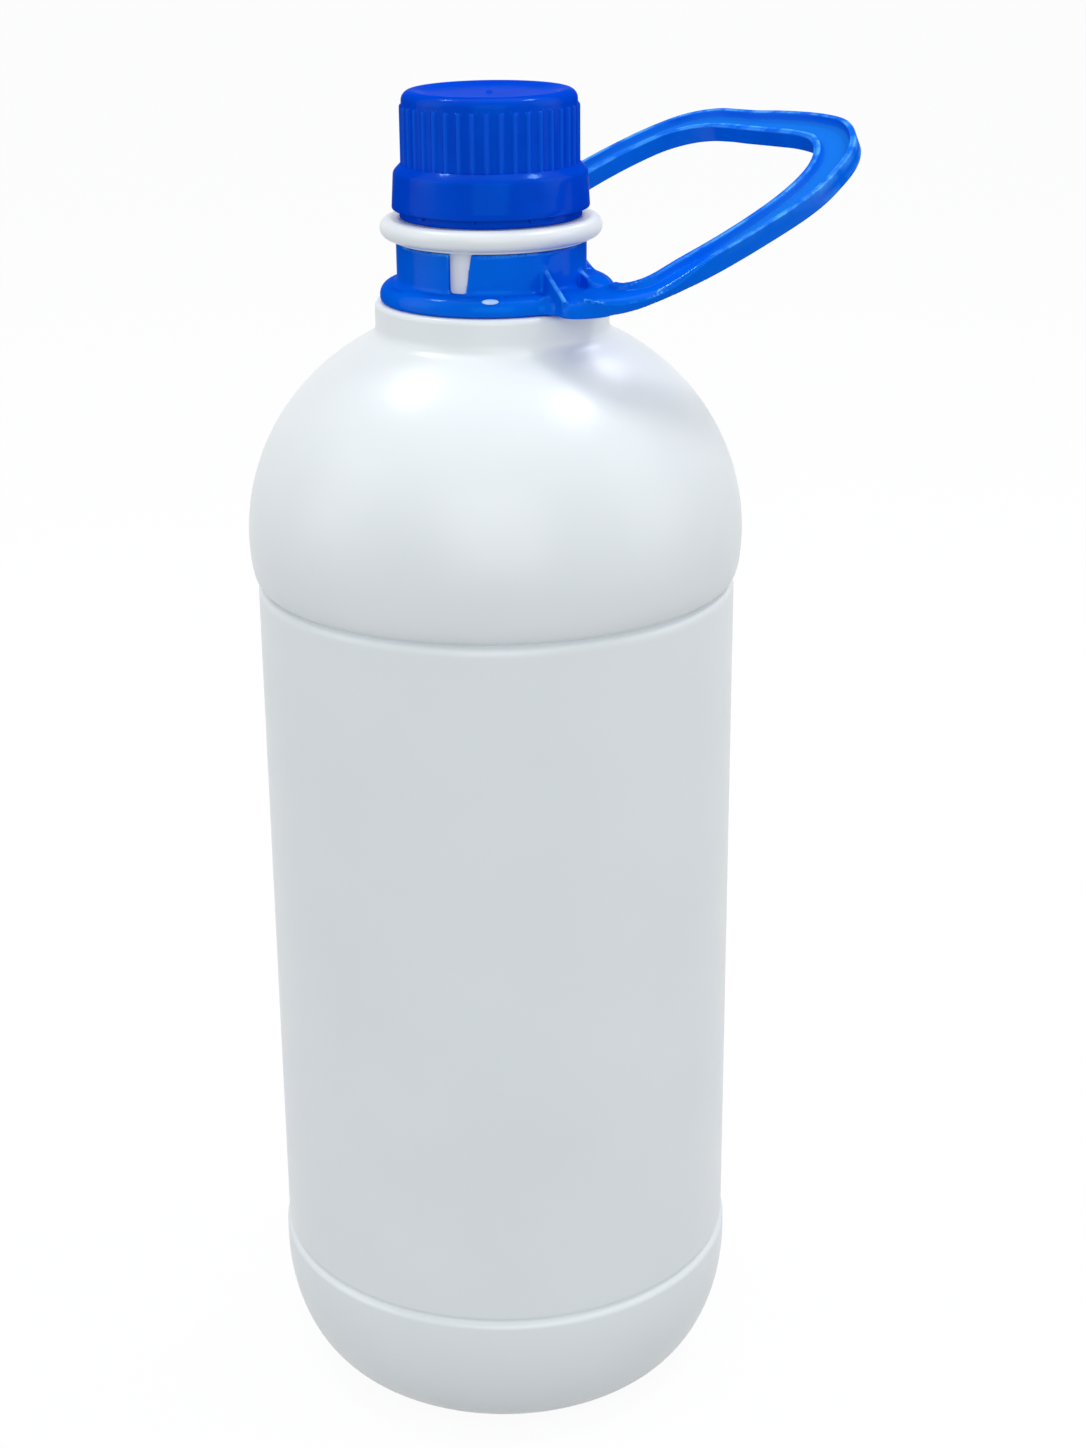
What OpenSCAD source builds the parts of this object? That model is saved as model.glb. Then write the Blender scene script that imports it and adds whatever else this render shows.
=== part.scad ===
// Blow-moulded bottle with a screw cap and a swivelling carry handle on its neck.
// Millimetres, +Z up. The origin is on the bottle's axis, in the plane that it stands on.
// +X points from the neck towards the handle's grip bar.

/* [Bottle body] */
// Radius of the straight label panel
panel_r = 57.2; // [52:0.2:62]
// Height of the straight label panel
panel_h = 174; // [120:0.5:220]
// Wall thickness of the blown body
body_wall = 1.2; // [0.8:0.1:1.6]
// Height of the rounded heel
heel_h = 31.2; // [24:0.2:36]
// Width of the rounded heel, measured inwards
heel_w = 17.6; // [14:0.1:22]
// Height of the foot band above the heel
band_h = 5.3; // [4:0.1:9]
// How far the foot band stands proud of the label panel
band_proud = 0.6; // [0.3:0.1:1.2]
// Depth of the groove between the foot band and the label panel
groove_d = 0.5; // [0.3:0.1:1]
// Width of the flat ring that the bottle stands on
foot_w = 4.6; // [3:0.1:6]
// Height of the push-up in the middle of the base
pushup_h = 4.5; // [2.5:0.1:7]

/* [Bottle shoulder] */
// Depth of the waist groove under the dome
waist_d = 1.3; // [0.8:0.1:2]
// Height from the waist groove to the dome's widest line
belly_h = 11.4; // [9:0.1:18]
// How far the dome stands proud of the label panel
belly_proud = 1.7; // [1:0.1:3]
// Radius of the dome's curve, measured across the bottle
dome_across_r = 56.7; // [52:0.1:58]
// Radius of the dome's curve, measured up the bottle
dome_up_r = 53.1; // [46:0.1:58]
// Radius of the pedestal that the handle sits on
pedestal_r = 27.25; // [26.8:0.05:28]
// Height of the pedestal above the dome
pedestal_h = 7.5; // [5:0.1:9]

/* [Neck] */
// Outer radius of the neck inside the handle's collar
neck_r = 20.4; // [19.8:0.05:21]
// Wall thickness of the neck inside the handle's collar
neck_wall = 1.8; // [1.4:0.1:2.4]
// Height of the lip under the transfer ring
lip_h = 0.7; // [0.5:0.1:1.2]
// Radius of the transfer ring's round section
ring_tube_r = 2.35; // [2:0.05:2.8]
// Outer radius of the neck finish at the thread's root
finish_r = 17.6; // [17:0.05:18]
// Wall thickness of the neck finish
finish_wall = 2.0; // [1.6:0.1:2.4]
// Height of the neck finish above the transfer ring
finish_h = 24.3; // [23.5:0.1:28]
// Height of the bead that holds the tamper ring down
bead_h = 2.2; // [1.6:0.1:2.8]

/* [Screw thread] */
// Rise of the thread in one turn
pitch = 4; // [3.6:0.1:4.4]
// Turns of thread on the neck and in the cap
thread_turns = 1.5; // [1.25:0.25:1.75]
// How far the neck's thread stands out from its root
thread_h = 1.1; // [0.9:0.05:1.2]
// Width of a thread at its root
thread_root_w = 1.7; // [1.4:0.05:1.8]
// Width of a thread at its crest
thread_crest_w = 0.7; // [0.5:0.05:0.9]

/* [Cap] */
// Wall thickness of the cap behind its ribs
cap_wall = 1.0; // [0.8:0.05:1.4]
// Thickness of the cap's top at its dished middle
cap_top_t = 1.4; // [1.1:0.1:2]
// Depth of the dish in the cap's top
dish_d = 0.8; // [0.4:0.1:1.2]
// Radius of the cap's top edge
cap_edge_r = 2.3; // [1:0.1:2.4]
// Number of grip ribs
rib_count = 40; // [24:1:48]
// How far a grip rib stands proud of the cap
rib_proud = 0.5; // [0.3:0.05:0.8]
// Radius of a grip rib's rounded back
rib_round_r = 0.8; // [0.6:0.05:1]
// Height of the flared skirt under the ribs
skirt_h = 8.3; // [7:0.1:10]
// Wall thickness of the flared skirt
skirt_wall = 1.45; // [1.1:0.05:1.8]
// Thickness of the foam liner
liner_t = 1.6; // [1:0.1:2.2]

/* [Tamper ring] */
// Height of the tamper ring
tamper_h = 1.85; // [1.4:0.05:2.6]
// Width of the tamper ring's section
tamper_w = 2.6; // [2.2:0.05:3]
// Number of snapped bridges on the tamper ring
bridge_count = 10; // [6:1:16]
// Width of a bridge
bridge_w = 0.9; // [0.6:0.1:1.4]

/* [Handle collar] */
// Height of the collar and its flange together
collar_h = 13.4; // [11:0.1:16]
// Wall thickness of the collar
collar_wall = 1.5; // [1.2:0.05:2]
// Thickness of the flange
flange_t = 4.3; // [3.6:0.1:5]
// Width of the flange outside the collar, at the back
flange_w = 4.0; // [3:0.1:5]
// Width of the flange outside the collar, inside the loop
tongue_w = 6.7; // [6:0.1:8]
// Radius of the flange's rounded upper edge
flange_edge_r = 2.8; // [0.8:0.1:3]
// Width of a collar slot at its top
slot_top_w = 5.4; // [4:0.1:7]
// Width of a collar slot at its foot
slot_foot_w = 3.9; // [3:0.1:4.5]
// Angle of a collar slot from the grip bar's direction
slot_angle = 134; // [120:1:150]
// Thickness of a gusset
gusset_t = 1.2; // [0.8:0.1:1.8]
// Height of a side gusset on the collar's wall
gusset_h = 5.6; // [4:0.1:7]
// Height of a middle gusset on the collar's wall
mid_gusset_h = 3.6; // [2.5:0.1:5]
// Radius of the round pad at the foot of a middle gusset
pad_r = 2.6; // [2:0.1:3]
// Height of the round pad above the flange
pad_h = 1.9; // [1:0.1:2.6]

/* [Handle loop] */
// Rise of the loop above the horizontal
loop_tilt = 24; // [12:1:30]
// Length of the loop from the neck's axis to the outside of the grip bar
loop_len = 90; // [80:0.5:105]
// Half width of the loop at its widest
loop_half_w = 48.6; // [46:0.1:56]
// Distance along the loop to its widest place
loop_wide_u = 50; // [46:0.5:60]
// Width of the grip bar at the loop's far end
bar_w = 9.2; // [7.5:0.1:11]
// Half width of the opening that the hand goes through
grip_half_w = 39.9; // [36:0.1:41]
// Distance along the loop from the neck's axis to the opening
root_len = 16.8; // [15:0.1:20]
// Height of the loop's rims
rim_h = 4.3; // [4:0.05:6]
// Thickness of the loop's rims
rim_t = 1.6; // [1.2:0.05:2]
// Thickness of the web between the rims
web_t = 1.55; // [1.2:0.05:2]
// Length of the opening's far corners, measured along the loop
grip_corner_u = 30; // [20:0.5:34]
// Width of the opening's far corners, measured across the loop
grip_corner_v = 24; // [14:0.5:30]
// Radius of the opening's near corners
root_corner_r = 7; // [5:0.5:9]
// Half width of the ears where the loop leaves the flange
ear_half_w = 37.6; // [36:0.1:42]
// Thickness of the ears
ear_t = 4.1; // [3:0.1:4.2]

/* [Fits] */
// Gap between faces that seat on each other
seat_gap = 0.1; // [0.05:0.05:0.2]
// Radial clearance between the handle's collar and the neck
swivel_gap = 0.08; // [0.04:0.01:0.1]
// Clearance between the cap's thread and the neck
thread_gap = 0.35; // [0.3:0.01:0.4]
// Free gap between parts that pass each other
free_gap = 0.3; // [0.2:0.05:0.4]

/* [Hidden] */
$fn = 96;

bottle_white = "#E9ECEE";
handle_blue = "#0B62D6";
cap_blue = "#0A45BE";
liner_white = "#F2F2EE";

// Heights of the bottle, from the floor up
band_z = heel_h;
groove_z = band_z + band_h;
panel_top_z = groove_z + panel_h;
panel_edge = 0.6;
pedestal_round_r = 1.3;
waist_z = panel_top_z + panel_edge;
belly_z = waist_z + belly_h;
band_r = panel_r + band_proud;
belly_r = panel_r + belly_proud;
waist_r = panel_r - waist_d;
dome_axis_r = belly_r - dome_across_r;
pedestal_z = belly_z + dome_height(pedestal_r, 0);
pedestal_top_z = pedestal_z + pedestal_h;

// The handle's collar stands on the pedestal, under the transfer ring
collar_z = pedestal_top_z + seat_gap;
collar_top_z = collar_z + collar_h;
flange_top_z = collar_z + flange_t;
collar_bore_r = neck_r + swivel_gap;
collar_r = collar_bore_r + collar_wall;
flange_r = collar_r + flange_w;
collar_foot_r = 0.9;
flange_round_r = min(flange_edge_r, flange_w - collar_foot_r - 0.1);
tongue_r = collar_r + tongue_w;

// Neck finish above the transfer ring
lip_z = collar_top_z + free_gap;
lip_r = collar_r + 0.6;
ring_inset = 0.7;
ring_r = lip_r + ring_inset;
ring_half_h = sqrt(pow(ring_tube_r, 2) - pow(ring_inset, 2));
ring_z = lip_z + lip_h + ring_half_h;
ledge_z = ring_z + ring_half_h;
neck_top_z = ledge_z + finish_h;
bore_r = finish_r - finish_wall;
mouth_round_r = 0.8;
mouth_chamfer = 0.4;

// Tamper ring, and the bead on the neck that keeps it there
tamper_z = ledge_z + seat_gap;
tamper_top_z = tamper_z + tamper_h;
tamper_in_r = finish_r + 0.8;
tamper_r = tamper_in_r + tamper_w;
bead_z = tamper_top_z + free_gap;
bead_r = tamper_in_r + 0.9;
bead_land = 0.6;
bridge_h = 0.7;

// Cap, from its skirt to its top
skirt_z = tamper_top_z + seat_gap;
skirt_in_r = tamper_r + free_gap;
skirt_r = skirt_in_r + skirt_wall;
skirt_draft = 0.45;
cap_bore_r = finish_r + thread_h + thread_gap;
cap_r = cap_bore_r + cap_wall;
rib_r = cap_r + rib_proud;
skirt_top_z = skirt_z + skirt_h;
shoulder_z = skirt_top_z + (skirt_r - skirt_draft - rib_r);
liner_z = neck_top_z + seat_gap;
cap_roof_z = liner_z + liner_t + seat_gap;
cap_top_z = cap_roof_z + cap_top_t + dish_d;
rib_top_z = cap_top_z - cap_edge_r - 1.3;
bore_foot_z = skirt_top_z;
pip_r = 0.7;
pip_h = 0.4;

// Thread: the cap's runs just under the neck's, at the same pitch
thread_foot_z = bore_foot_z + 2.4;
thread_steps = 30;
thread_fade = 5;
thread_sink = 0.3;
thread_drop = pitch / 2 - 0.35;

// Loop: u runs along the tilted plane from the neck's axis, v across it
bend_x = 8.6;
bend_u = bend_x / cos(loop_tilt);
bend_z = flange_top_z - bend_x * tan(loop_tilt);
lower_bend_x = bend_x + rim_h * sin(loop_tilt);
ear_x = 2.2;
ear_corner_r = 5;
ear_fillet_r = 4;
corner_power = 2.5;
flare_power = 3;
rim_end_v = tongue_r + 1.8;
floor_u = root_len + 2 * rim_t;
recess_d = (rim_h - web_t) / 2;

// Gussets beside the collar run straight out across the loop, a middle one to its pad
side_gusset_x = ear_x + gusset_t / 2 + 0.1;
side_gusset_v = 32;
pad_x = 14.6;
pad_v = 25.6;

// Shallow pocket in the flange's top, at the back
pocket_l = 2.9;
pocket_w = 7.4;
pocket_d = 0.6;
pocket_edge = 0.8;
steps = 12;

// Points of an arc about c, from angle a0 to a1, with n steps
function arc(c, r, a0, a1, n = steps) =
    [for (i = [0:n]) let (a = a0 + (a1 - a0) * i / n) c + r * [cos(a), sin(a)]];

// Points of a quarter of an ellipse about c, with its own two radii
function oval(c, rx, ry, a0, a1, n = steps) =
    [for (i = [0:n]) let (a = a0 + (a1 - a0) * i / n) c + [rx * cos(a), ry * sin(a)]];

// Points of a cubic curve from p to s, steered by q and r
function bend(p, q, r, s, n = steps) =
    [for (i = [0:n]) let (t = i / n, k = 1 - t)
        k * k * k * p + 3 * k * k * t * q + 3 * k * t * t * r + t * t * t * s];

// A list with each point's second coordinate mirrored, in reverse order
function mirrored(pts) = [for (i = [len(pts) - 1:-1:0]) [pts[i][0], -pts[i][1]]];

// Height of the dome above its widest line, at radius r, under a wall of thickness w
function dome_height(r, w) =
    (dome_up_r - w) * sqrt(1 - pow((r - dome_axis_r) / (dome_across_r - w), 2));

// Outside of the bottle, from the middle of its base to the mouth
function bottle_outside() =
    let (
        foot_r = band_r - heel_w,
        dome_end = acos((pedestal_r - dome_axis_r) / dome_across_r) - 2,
        dome_c = [dome_axis_r, belly_z],
        foot_of_dome = [waist_r, waist_z],
        dome_last = dome_c + [dome_across_r * cos(dome_end), dome_up_r * sin(dome_end)]
    )
    concat(
        [[0, pushup_h], [foot_r - foot_w - 7, pushup_h - 0.5]],
        bend([foot_r - foot_w - 5, pushup_h - 0.7], [foot_r - foot_w - 2.5, pushup_h - 1.2],
             [foot_r - foot_w - 1.5, 0], [foot_r - foot_w, 0], 6),
        oval([foot_r, heel_h], heel_w, heel_h, -90, 0, 20),
        bend([band_r, groove_z - 1.6], [band_r, groove_z - 0.6],
             [panel_r - groove_d, groove_z - 0.4], [panel_r - groove_d, groove_z], 6),
        bend([panel_r - groove_d, groove_z + 0.3], [panel_r - groove_d, groove_z + 0.7],
             [panel_r, groove_z + 0.6], [panel_r, groove_z + 1.4], 6),
        bend([panel_r, panel_top_z - 2.2], [panel_r, panel_top_z - 0.4],
             [panel_r - 0.5, panel_top_z + 0.1], foot_of_dome, 8),
        bend(foot_of_dome + [0.1, 0.15], foot_of_dome + [2.4, 1.5],
             [belly_r, belly_z - 5.5], [belly_r, belly_z], 14),
        oval(dome_c, dome_across_r, dome_up_r, dome_end / 24, dome_end, 23),
        bend(dome_last, [pedestal_r + 0.3, pedestal_z + 0.1],
             [pedestal_r, pedestal_z + 0.6], [pedestal_r, pedestal_z + 1.8], 6),
        arc([pedestal_r - pedestal_round_r, pedestal_top_z - pedestal_round_r],
            pedestal_round_r, 0, 90, 6),
        [[neck_r, pedestal_top_z], [neck_r, lip_z], [lip_r, lip_z]],
        arc([ring_r, ring_z], ring_tube_r, -180 + acos(ring_inset / ring_tube_r),
            180 - acos(ring_inset / ring_tube_r), 24),
        [[finish_r, ledge_z], [finish_r, bead_z], [bead_r, bead_z], [bead_r, bead_z + bead_land],
         [finish_r, bead_z + bead_h]],
        arc([finish_r - mouth_round_r, neck_top_z - mouth_round_r], mouth_round_r, 0, 90, 5),
        [[bore_r + mouth_chamfer, neck_top_z]]
    );

// Inside of the bottle, from the mouth down to the middle of its base
function bottle_inside() =
    let (
        w = body_wall,
        foot_r = band_r - heel_w,
        roof_z = belly_z + dome_height(pedestal_r - w, w),
        dome_end = acos((pedestal_r - w - dome_axis_r) / (dome_across_r - w))
    )
    concat(
        [[bore_r, neck_top_z - mouth_chamfer], [bore_r, lip_z + 1], [neck_r - neck_wall, lip_z - 4],
         [neck_r - neck_wall, pedestal_top_z - w], [pedestal_r - w - 1.2, pedestal_top_z - w],
         [pedestal_r - w, pedestal_top_z - w - 1.2], [pedestal_r - w, roof_z]],
        oval([dome_axis_r, belly_z], dome_across_r - w, dome_up_r - w, dome_end * 23 / 24, 0, 23),
        [[belly_r - w - 0.1, waist_z + 6], [waist_r - w, waist_z + 1.5],
         [waist_r - w, waist_z - 1.5], [panel_r - w, panel_top_z - 3.5],
         [panel_r - w, groove_z + 2.5], [panel_r - groove_d - w, groove_z + 1],
         [panel_r - groove_d - w, groove_z - 1], [band_r - w, groove_z - 2.5]],
        oval([foot_r, heel_h], heel_w - w, heel_h - w, 0, -90, 20),
        [[foot_r - foot_w, w], [foot_r - foot_w - 5, pushup_h - 0.7 + w], [0, pushup_h + w]]
    );

// A thread ridge as a helix: rb is the radius that it grows from, rc its crest
module thread(rb, rc, z) {
    n = round(thread_turns * thread_steps);
    function crest(i) = rb + (rc - rb) * max(0.15, min(1, i / thread_fade, (n - i) / thread_fade));
    function section(i) =
        rb < rc
            ? [[rb, -thread_root_w / 2], [crest(i), -thread_crest_w / 2],
               [crest(i), thread_crest_w / 2], [rb, thread_root_w / 2]]
            : [[crest(i), -thread_crest_w / 2], [rb, -thread_root_w / 2],
               [rb, thread_root_w / 2], [crest(i), thread_crest_w / 2]];
    points = [for (i = [0:n]) for (p = section(i))
        let (a = 360 * i / thread_steps) [p[0] * cos(a), p[0] * sin(a), z + p[1] + pitch * a / 360]];
    sides = [for (i = [0:n - 1]) for (j = [0:3])
        let (a = 4 * i + j, b = 4 * i + (j + 1) % 4) each [[a, b, b + 4], [a, b + 4, a + 4]]];
    ends = [[2, 1, 0], [3, 2, 0], [4 * n, 4 * n + 1, 4 * n + 2], [4 * n, 4 * n + 2, 4 * n + 3]];
    polyhedron(points, concat(sides, ends));
}

// The blown bottle, hollow from its mouth to its base
module bottle() {
    color(bottle_white) {
        rotate_extrude() polygon(concat(bottle_outside(), bottle_inside()));
        thread(finish_r - thread_sink, finish_r + thread_h, thread_foot_z);
    }
}

// Outside of the cap, from its skirt's foot to the middle of its top
function cap_outside() =
    concat(
        [[0, skirt_z], [skirt_r - 0.3, skirt_z], [skirt_r, skirt_z + 0.3]],
        bend([skirt_r - skirt_draft, skirt_top_z - 0.9], [skirt_r - skirt_draft - 0.05, skirt_top_z],
             [skirt_r - skirt_draft - 0.3, skirt_top_z + 0.2], [rib_r, shoulder_z], 6),
        [[cap_r, shoulder_z]],
        arc([cap_r - cap_edge_r, cap_top_z - cap_edge_r], cap_edge_r, 0, 90, 8),
        [[0, cap_top_z]]
    );

// The dish in the cap's top, cut out of it
function cap_dish() =
    let (rim = cap_r - cap_edge_r - 0.6)
    concat(
        bend([rim, cap_top_z], [rim - 1.5, cap_top_z - 0.1],
             [rim - 3, cap_top_z - dish_d], [rim - 6, cap_top_z - dish_d], 8),
        [[0, cap_top_z - dish_d], [0, cap_top_z + 1], [rim, cap_top_z + 1]]
    );

// The cap: a ribbed shell on a flared skirt, with its own thread inside
module cap() {
    color(cap_blue) {
        difference() {
            union() {
                rotate_extrude() polygon(cap_outside());
                intersection() {
                    translate([0, 0, shoulder_z - 0.5])
                        linear_extrude(rib_top_z - shoulder_z + 0.5)
                            for (i = [0:rib_count - 1])
                                rotate(360 * i / rib_count)
                                    translate([rib_r - rib_round_r, 0])
                                        circle(rib_round_r, $fn = 24);
                    rotate_extrude()
                        polygon([[0, shoulder_z - 0.5], [rib_r, shoulder_z - 0.5],
                                 [rib_r, rib_top_z - 0.8], [cap_r, rib_top_z], [0, rib_top_z]]);
                }
            }
            rotate_extrude()
                polygon([[0, skirt_z - 1], [skirt_in_r, skirt_z - 1], [skirt_in_r, skirt_top_z - 3],
                         [cap_bore_r, bore_foot_z], [cap_bore_r, cap_roof_z], [0, cap_roof_z]]);
            rotate_extrude() polygon(cap_dish());
        }
        translate([0, 0, cap_top_z - dish_d - 0.2]) cylinder(r = pip_r, h = pip_h + 0.2, $fn = 24);
        thread(cap_bore_r + thread_sink + 0.1, finish_r + thread_gap, thread_foot_z - thread_drop);
    }
}

// The foam disc that seals the cap on the neck
module cap_liner() {
    color(liner_white)
        translate([0, 0, liner_z]) cylinder(r = cap_bore_r - free_gap, h = liner_t);
}

// The tamper ring stays on the neck under its bead, with the stubs of its snapped bridges
module tamper_ring() {
    color(cap_blue) {
        rotate_extrude()
            polygon([[tamper_in_r, tamper_z], [tamper_r - 0.2, tamper_z], [tamper_r, tamper_z + 0.2],
                     [tamper_r, tamper_top_z], [tamper_in_r + 0.5, tamper_top_z],
                     [tamper_in_r, tamper_top_z - 0.5]]);
        for (i = [0:bridge_count - 1])
            rotate(360 * (i + 0.5) / bridge_count)
                translate([tamper_r - 0.3, -bridge_w / 2, tamper_top_z - bridge_h])
                    cube([0.9, bridge_w, bridge_h]);
    }
}

// Half width of the loop's outline at u, between the ears and the widest place
function flare_v(u, inset) =
    loop_half_w - inset
        - (loop_half_w - ear_half_w) * pow((loop_wide_u - u) / (loop_wide_u - bend_u), flare_power);

// Outline of the loop in its own plane, brought in by inset
function loop_outline(inset, from_u) =
    let (
        reach = loop_len - loop_wide_u - inset,
        half = loop_half_w - inset,
        flare = [for (i = [0:steps - 1]) let (u = from_u + (loop_wide_u - from_u) * i / steps)
            [u, flare_v(u, inset)]],
        end = [for (i = [0:20]) let (a = 90 - 90 * i / 20)
            [loop_wide_u + reach * pow(cos(a), 2 / corner_power),
             half * pow(sin(a), 2 / corner_power)]],
        side = concat(flare, end)
    )
    concat([for (i = [0:len(side) - 2]) side[i]], mirrored(side));

// Outline of the opening that the hand goes through, grown by outset
function grip_outline(outset) =
    let (
        far_u = loop_len - bar_w + outset,
        half = grip_half_w + outset,
        near_u = root_len - outset,
        cu = grip_corner_u + outset,
        cv = grip_corner_v + outset,
        rr = root_corner_r + outset,
        side = concat(
            arc([near_u + rr, half - rr], rr, 180, 90, 8),
            oval([far_u - cu, half - cv], cu, cv, 90, 0, 14)
        )
    )
    concat(side, mirrored(side));

// Moves a flat drawing into the loop's tilted plane
module in_loop_plane() {
    translate([0, 0, bend_z]) rotate([0, -loop_tilt, 0]) children();
}

// Floor of the channel between the rims, cut out of one side of the loop
module channel(from_u) {
    difference() {
        linear_extrude(recess_d + 1) polygon(loop_outline(rim_t, from_u));
        difference() {
            translate([0, 0, -1]) linear_extrude(recess_d + 3) polygon(grip_outline(rim_t));
            translate([bend_u, -rim_end_v, -2]) cube([floor_u - bend_u, 2 * rim_end_v, recess_d + 6]);
        }
    }
}

// Loop: two rims with a thin web between them, above and below
module loop() {
    difference() {
        intersection() {
            in_loop_plane()
                difference() {
                    translate([0, 0, -rim_h]) linear_extrude(rim_h) polygon(loop_outline(0, bend_u));
                    translate([0, 0, -rim_h - 1]) linear_extrude(rim_h + 2) polygon(grip_outline(0));
                }
            translate([bend_x, -2 * loop_half_w, flange_top_z - ear_t])
                cube([2 * loop_len, 4 * loop_half_w, 2 * loop_len]);
        }
        in_loop_plane() {
            difference() {
                translate([0, 0, -recess_d]) channel(bend_u + 0.5);
                rotate([90, 0, 0])
                    translate([0, 0, -2 * loop_half_w])
                        linear_extrude(4 * loop_half_w)
                            polygon([[0, -2 * recess_d], [floor_u, -recess_d], [bend_u, 0], [0, 0]]);
            }
            translate([0, 0, -rim_h - 1]) intersection() {
                channel(floor_u);
                translate([0, -2 * loop_half_w, 0])
                    cube([2 * loop_len, 4 * loop_half_w, recess_d + 1]);
            }
        }
        cylinder(r = tongue_r - 0.5, h = 2 * flange_top_z);
    }
}

// Ears: the flat plate that widens the flange to meet the loop
function ear_outline() =
    let (
        slope = flare_power * (loop_half_w - ear_half_w) / (loop_wide_u - bend_u) * cos(loop_tilt),
        lean = atan(slope),
        end_v = ear_half_w + slope * (lower_bend_x - bend_x),
        corner_x = ear_x + ear_corner_r,
        corner_v = ear_half_w - slope * (bend_x - corner_x + ear_corner_r * sin(lean))
            - ear_corner_r * cos(lean),
        fillet_x = ear_x - ear_fillet_r,
        fillet_v = sqrt(pow(flange_r + ear_fillet_r, 2) - fillet_x * fillet_x),
        fillet_a = atan2(-fillet_v, -fillet_x),
        side = concat(
            [[-1, 0]],
            arc([fillet_x, fillet_v], ear_fillet_r, fillet_a, 0, 6),
            arc([corner_x, corner_v], ear_corner_r, 180, 90 + lean, 8),
            [[lower_bend_x, end_v]]
        )
    )
    concat(side, [for (i = [len(side) - 1:-1:1]) [side[i][0], -side[i][1]]]);

// A thin triangular rib from the collar's wall out along the flange, sunk a little into both,
// in the upright plane at an angle, or beside it
module gusset(angle, beside, reach, rise, foot_z) {
    sink = 0.5;
    root_r = sqrt(pow(collar_bore_r + collar_wall / 2, 2) - beside * beside);
    wall_r = sqrt(collar_r * collar_r - beside * beside);
    under_z = min(foot_z, flange_top_z) - sink;
    rotate([0, 0, angle])
        rotate([90, 0, 0])
            translate([0, 0, beside - gusset_t / 2])
                linear_extrude(gusset_t)
                    polygon([[root_r, under_z], [root_r, flange_top_z + rise],
                             [wall_r, flange_top_z + rise], [reach, foot_z],
                             [reach - sink, under_z]]);
}

// A tapered slot that lets the collar spring over the transfer ring
module collar_slot() {
    rotate([0, 0, slot_angle])
        translate([neck_r - 2, 0, 0])
            rotate([90, 0, 90])
                linear_extrude(2 * collar_wall + 4)
                    polygon([[slot_top_w / 2, flange_top_z + 0.3], [slot_top_w / 2, collar_top_z + 1],
                             [-slot_top_w / 2, collar_top_z + 1],
                             [slot_top_w / 2 - slot_foot_w, flange_top_z + 0.3]]);
}

// The carry handle, moulded in one piece
module handle() {
    color(handle_blue)
        difference() {
            union() {
                rotate_extrude()
                    polygon(concat(
                        [[collar_bore_r, collar_z], [flange_r - 0.5, collar_z],
                         [flange_r, collar_z + 0.5]],
                        arc([flange_r - flange_round_r, flange_top_z - flange_round_r],
                            flange_round_r, 0, 90, 6),
                        arc([collar_r + collar_foot_r, flange_top_z + collar_foot_r],
                            collar_foot_r, -90, -180, 4),
                        [[collar_r, collar_top_z - 0.3], [collar_r - 0.3, collar_top_z],
                         [collar_bore_r + 0.3, collar_top_z], [collar_bore_r, collar_top_z - 0.3]]));
                intersection() {
                    rotate_extrude()
                        polygon(concat(
                            [[collar_bore_r, collar_z], [tongue_r - 0.5, collar_z],
                             [tongue_r, collar_z + 0.5]],
                            arc([tongue_r - flange_edge_r, flange_top_z - flange_edge_r],
                                flange_edge_r, 0, 90, 6),
                            [[collar_bore_r, flange_top_z]]));
                    translate([lower_bend_x - 0.5, -2 * tongue_r, collar_z - 1])
                        cube([2 * tongue_r, 4 * tongue_r, flange_t + 2]);
                }
                translate([0, 0, flange_top_z - ear_t]) linear_extrude(ear_t) polygon(ear_outline());
                loop();
                for (side = [0, 1])
                    mirror([0, side, 0]) {
                        gusset(90, side_gusset_x, side_gusset_v, gusset_h, flange_top_z);
                        gusset(90, pad_x, pad_v, mid_gusset_h, flange_top_z + 0.8);
                        translate([pad_x, pad_v, collar_z + 1])
                            cylinder(r = pad_r, h = flange_t - 1 + pad_h, $fn = 48);
                    }
                gusset(0, 0, tongue_r + 0.2, gusset_h, flange_top_z - flange_edge_r);
            }
            translate([0, 0, collar_z - 1]) cylinder(r = collar_bore_r, h = collar_h + 2);
            collar_slot();
            mirror([0, 1, 0]) collar_slot();
            translate([pocket_edge - flange_r, -pocket_w / 2, flange_top_z - pocket_d])
                cube([pocket_l, pocket_w, 2]);
        }
}

bottle();
handle();
cap();
cap_liner();
tamper_ring();
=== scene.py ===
# %% [markdown]
# # A handled bottle, made as its maker would
#
# A tall white bottle is blown in polyethylene, a blue collar with a carry loop snaps round its
# neck, and a deeper blue cap screws on over a tamper ring. The sizes and the joints are already
# settled in the imported frame. This lesson gives each piece its finished surface. The frame is
# loaded first, and the boxes of its parts give the heights of the neck, the collar and the cap.

# %% Load the frame
import math

import bmesh
import bpy
from mathutils import Matrix, Vector
from mathutils.bvhtree import BVHTree


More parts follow.
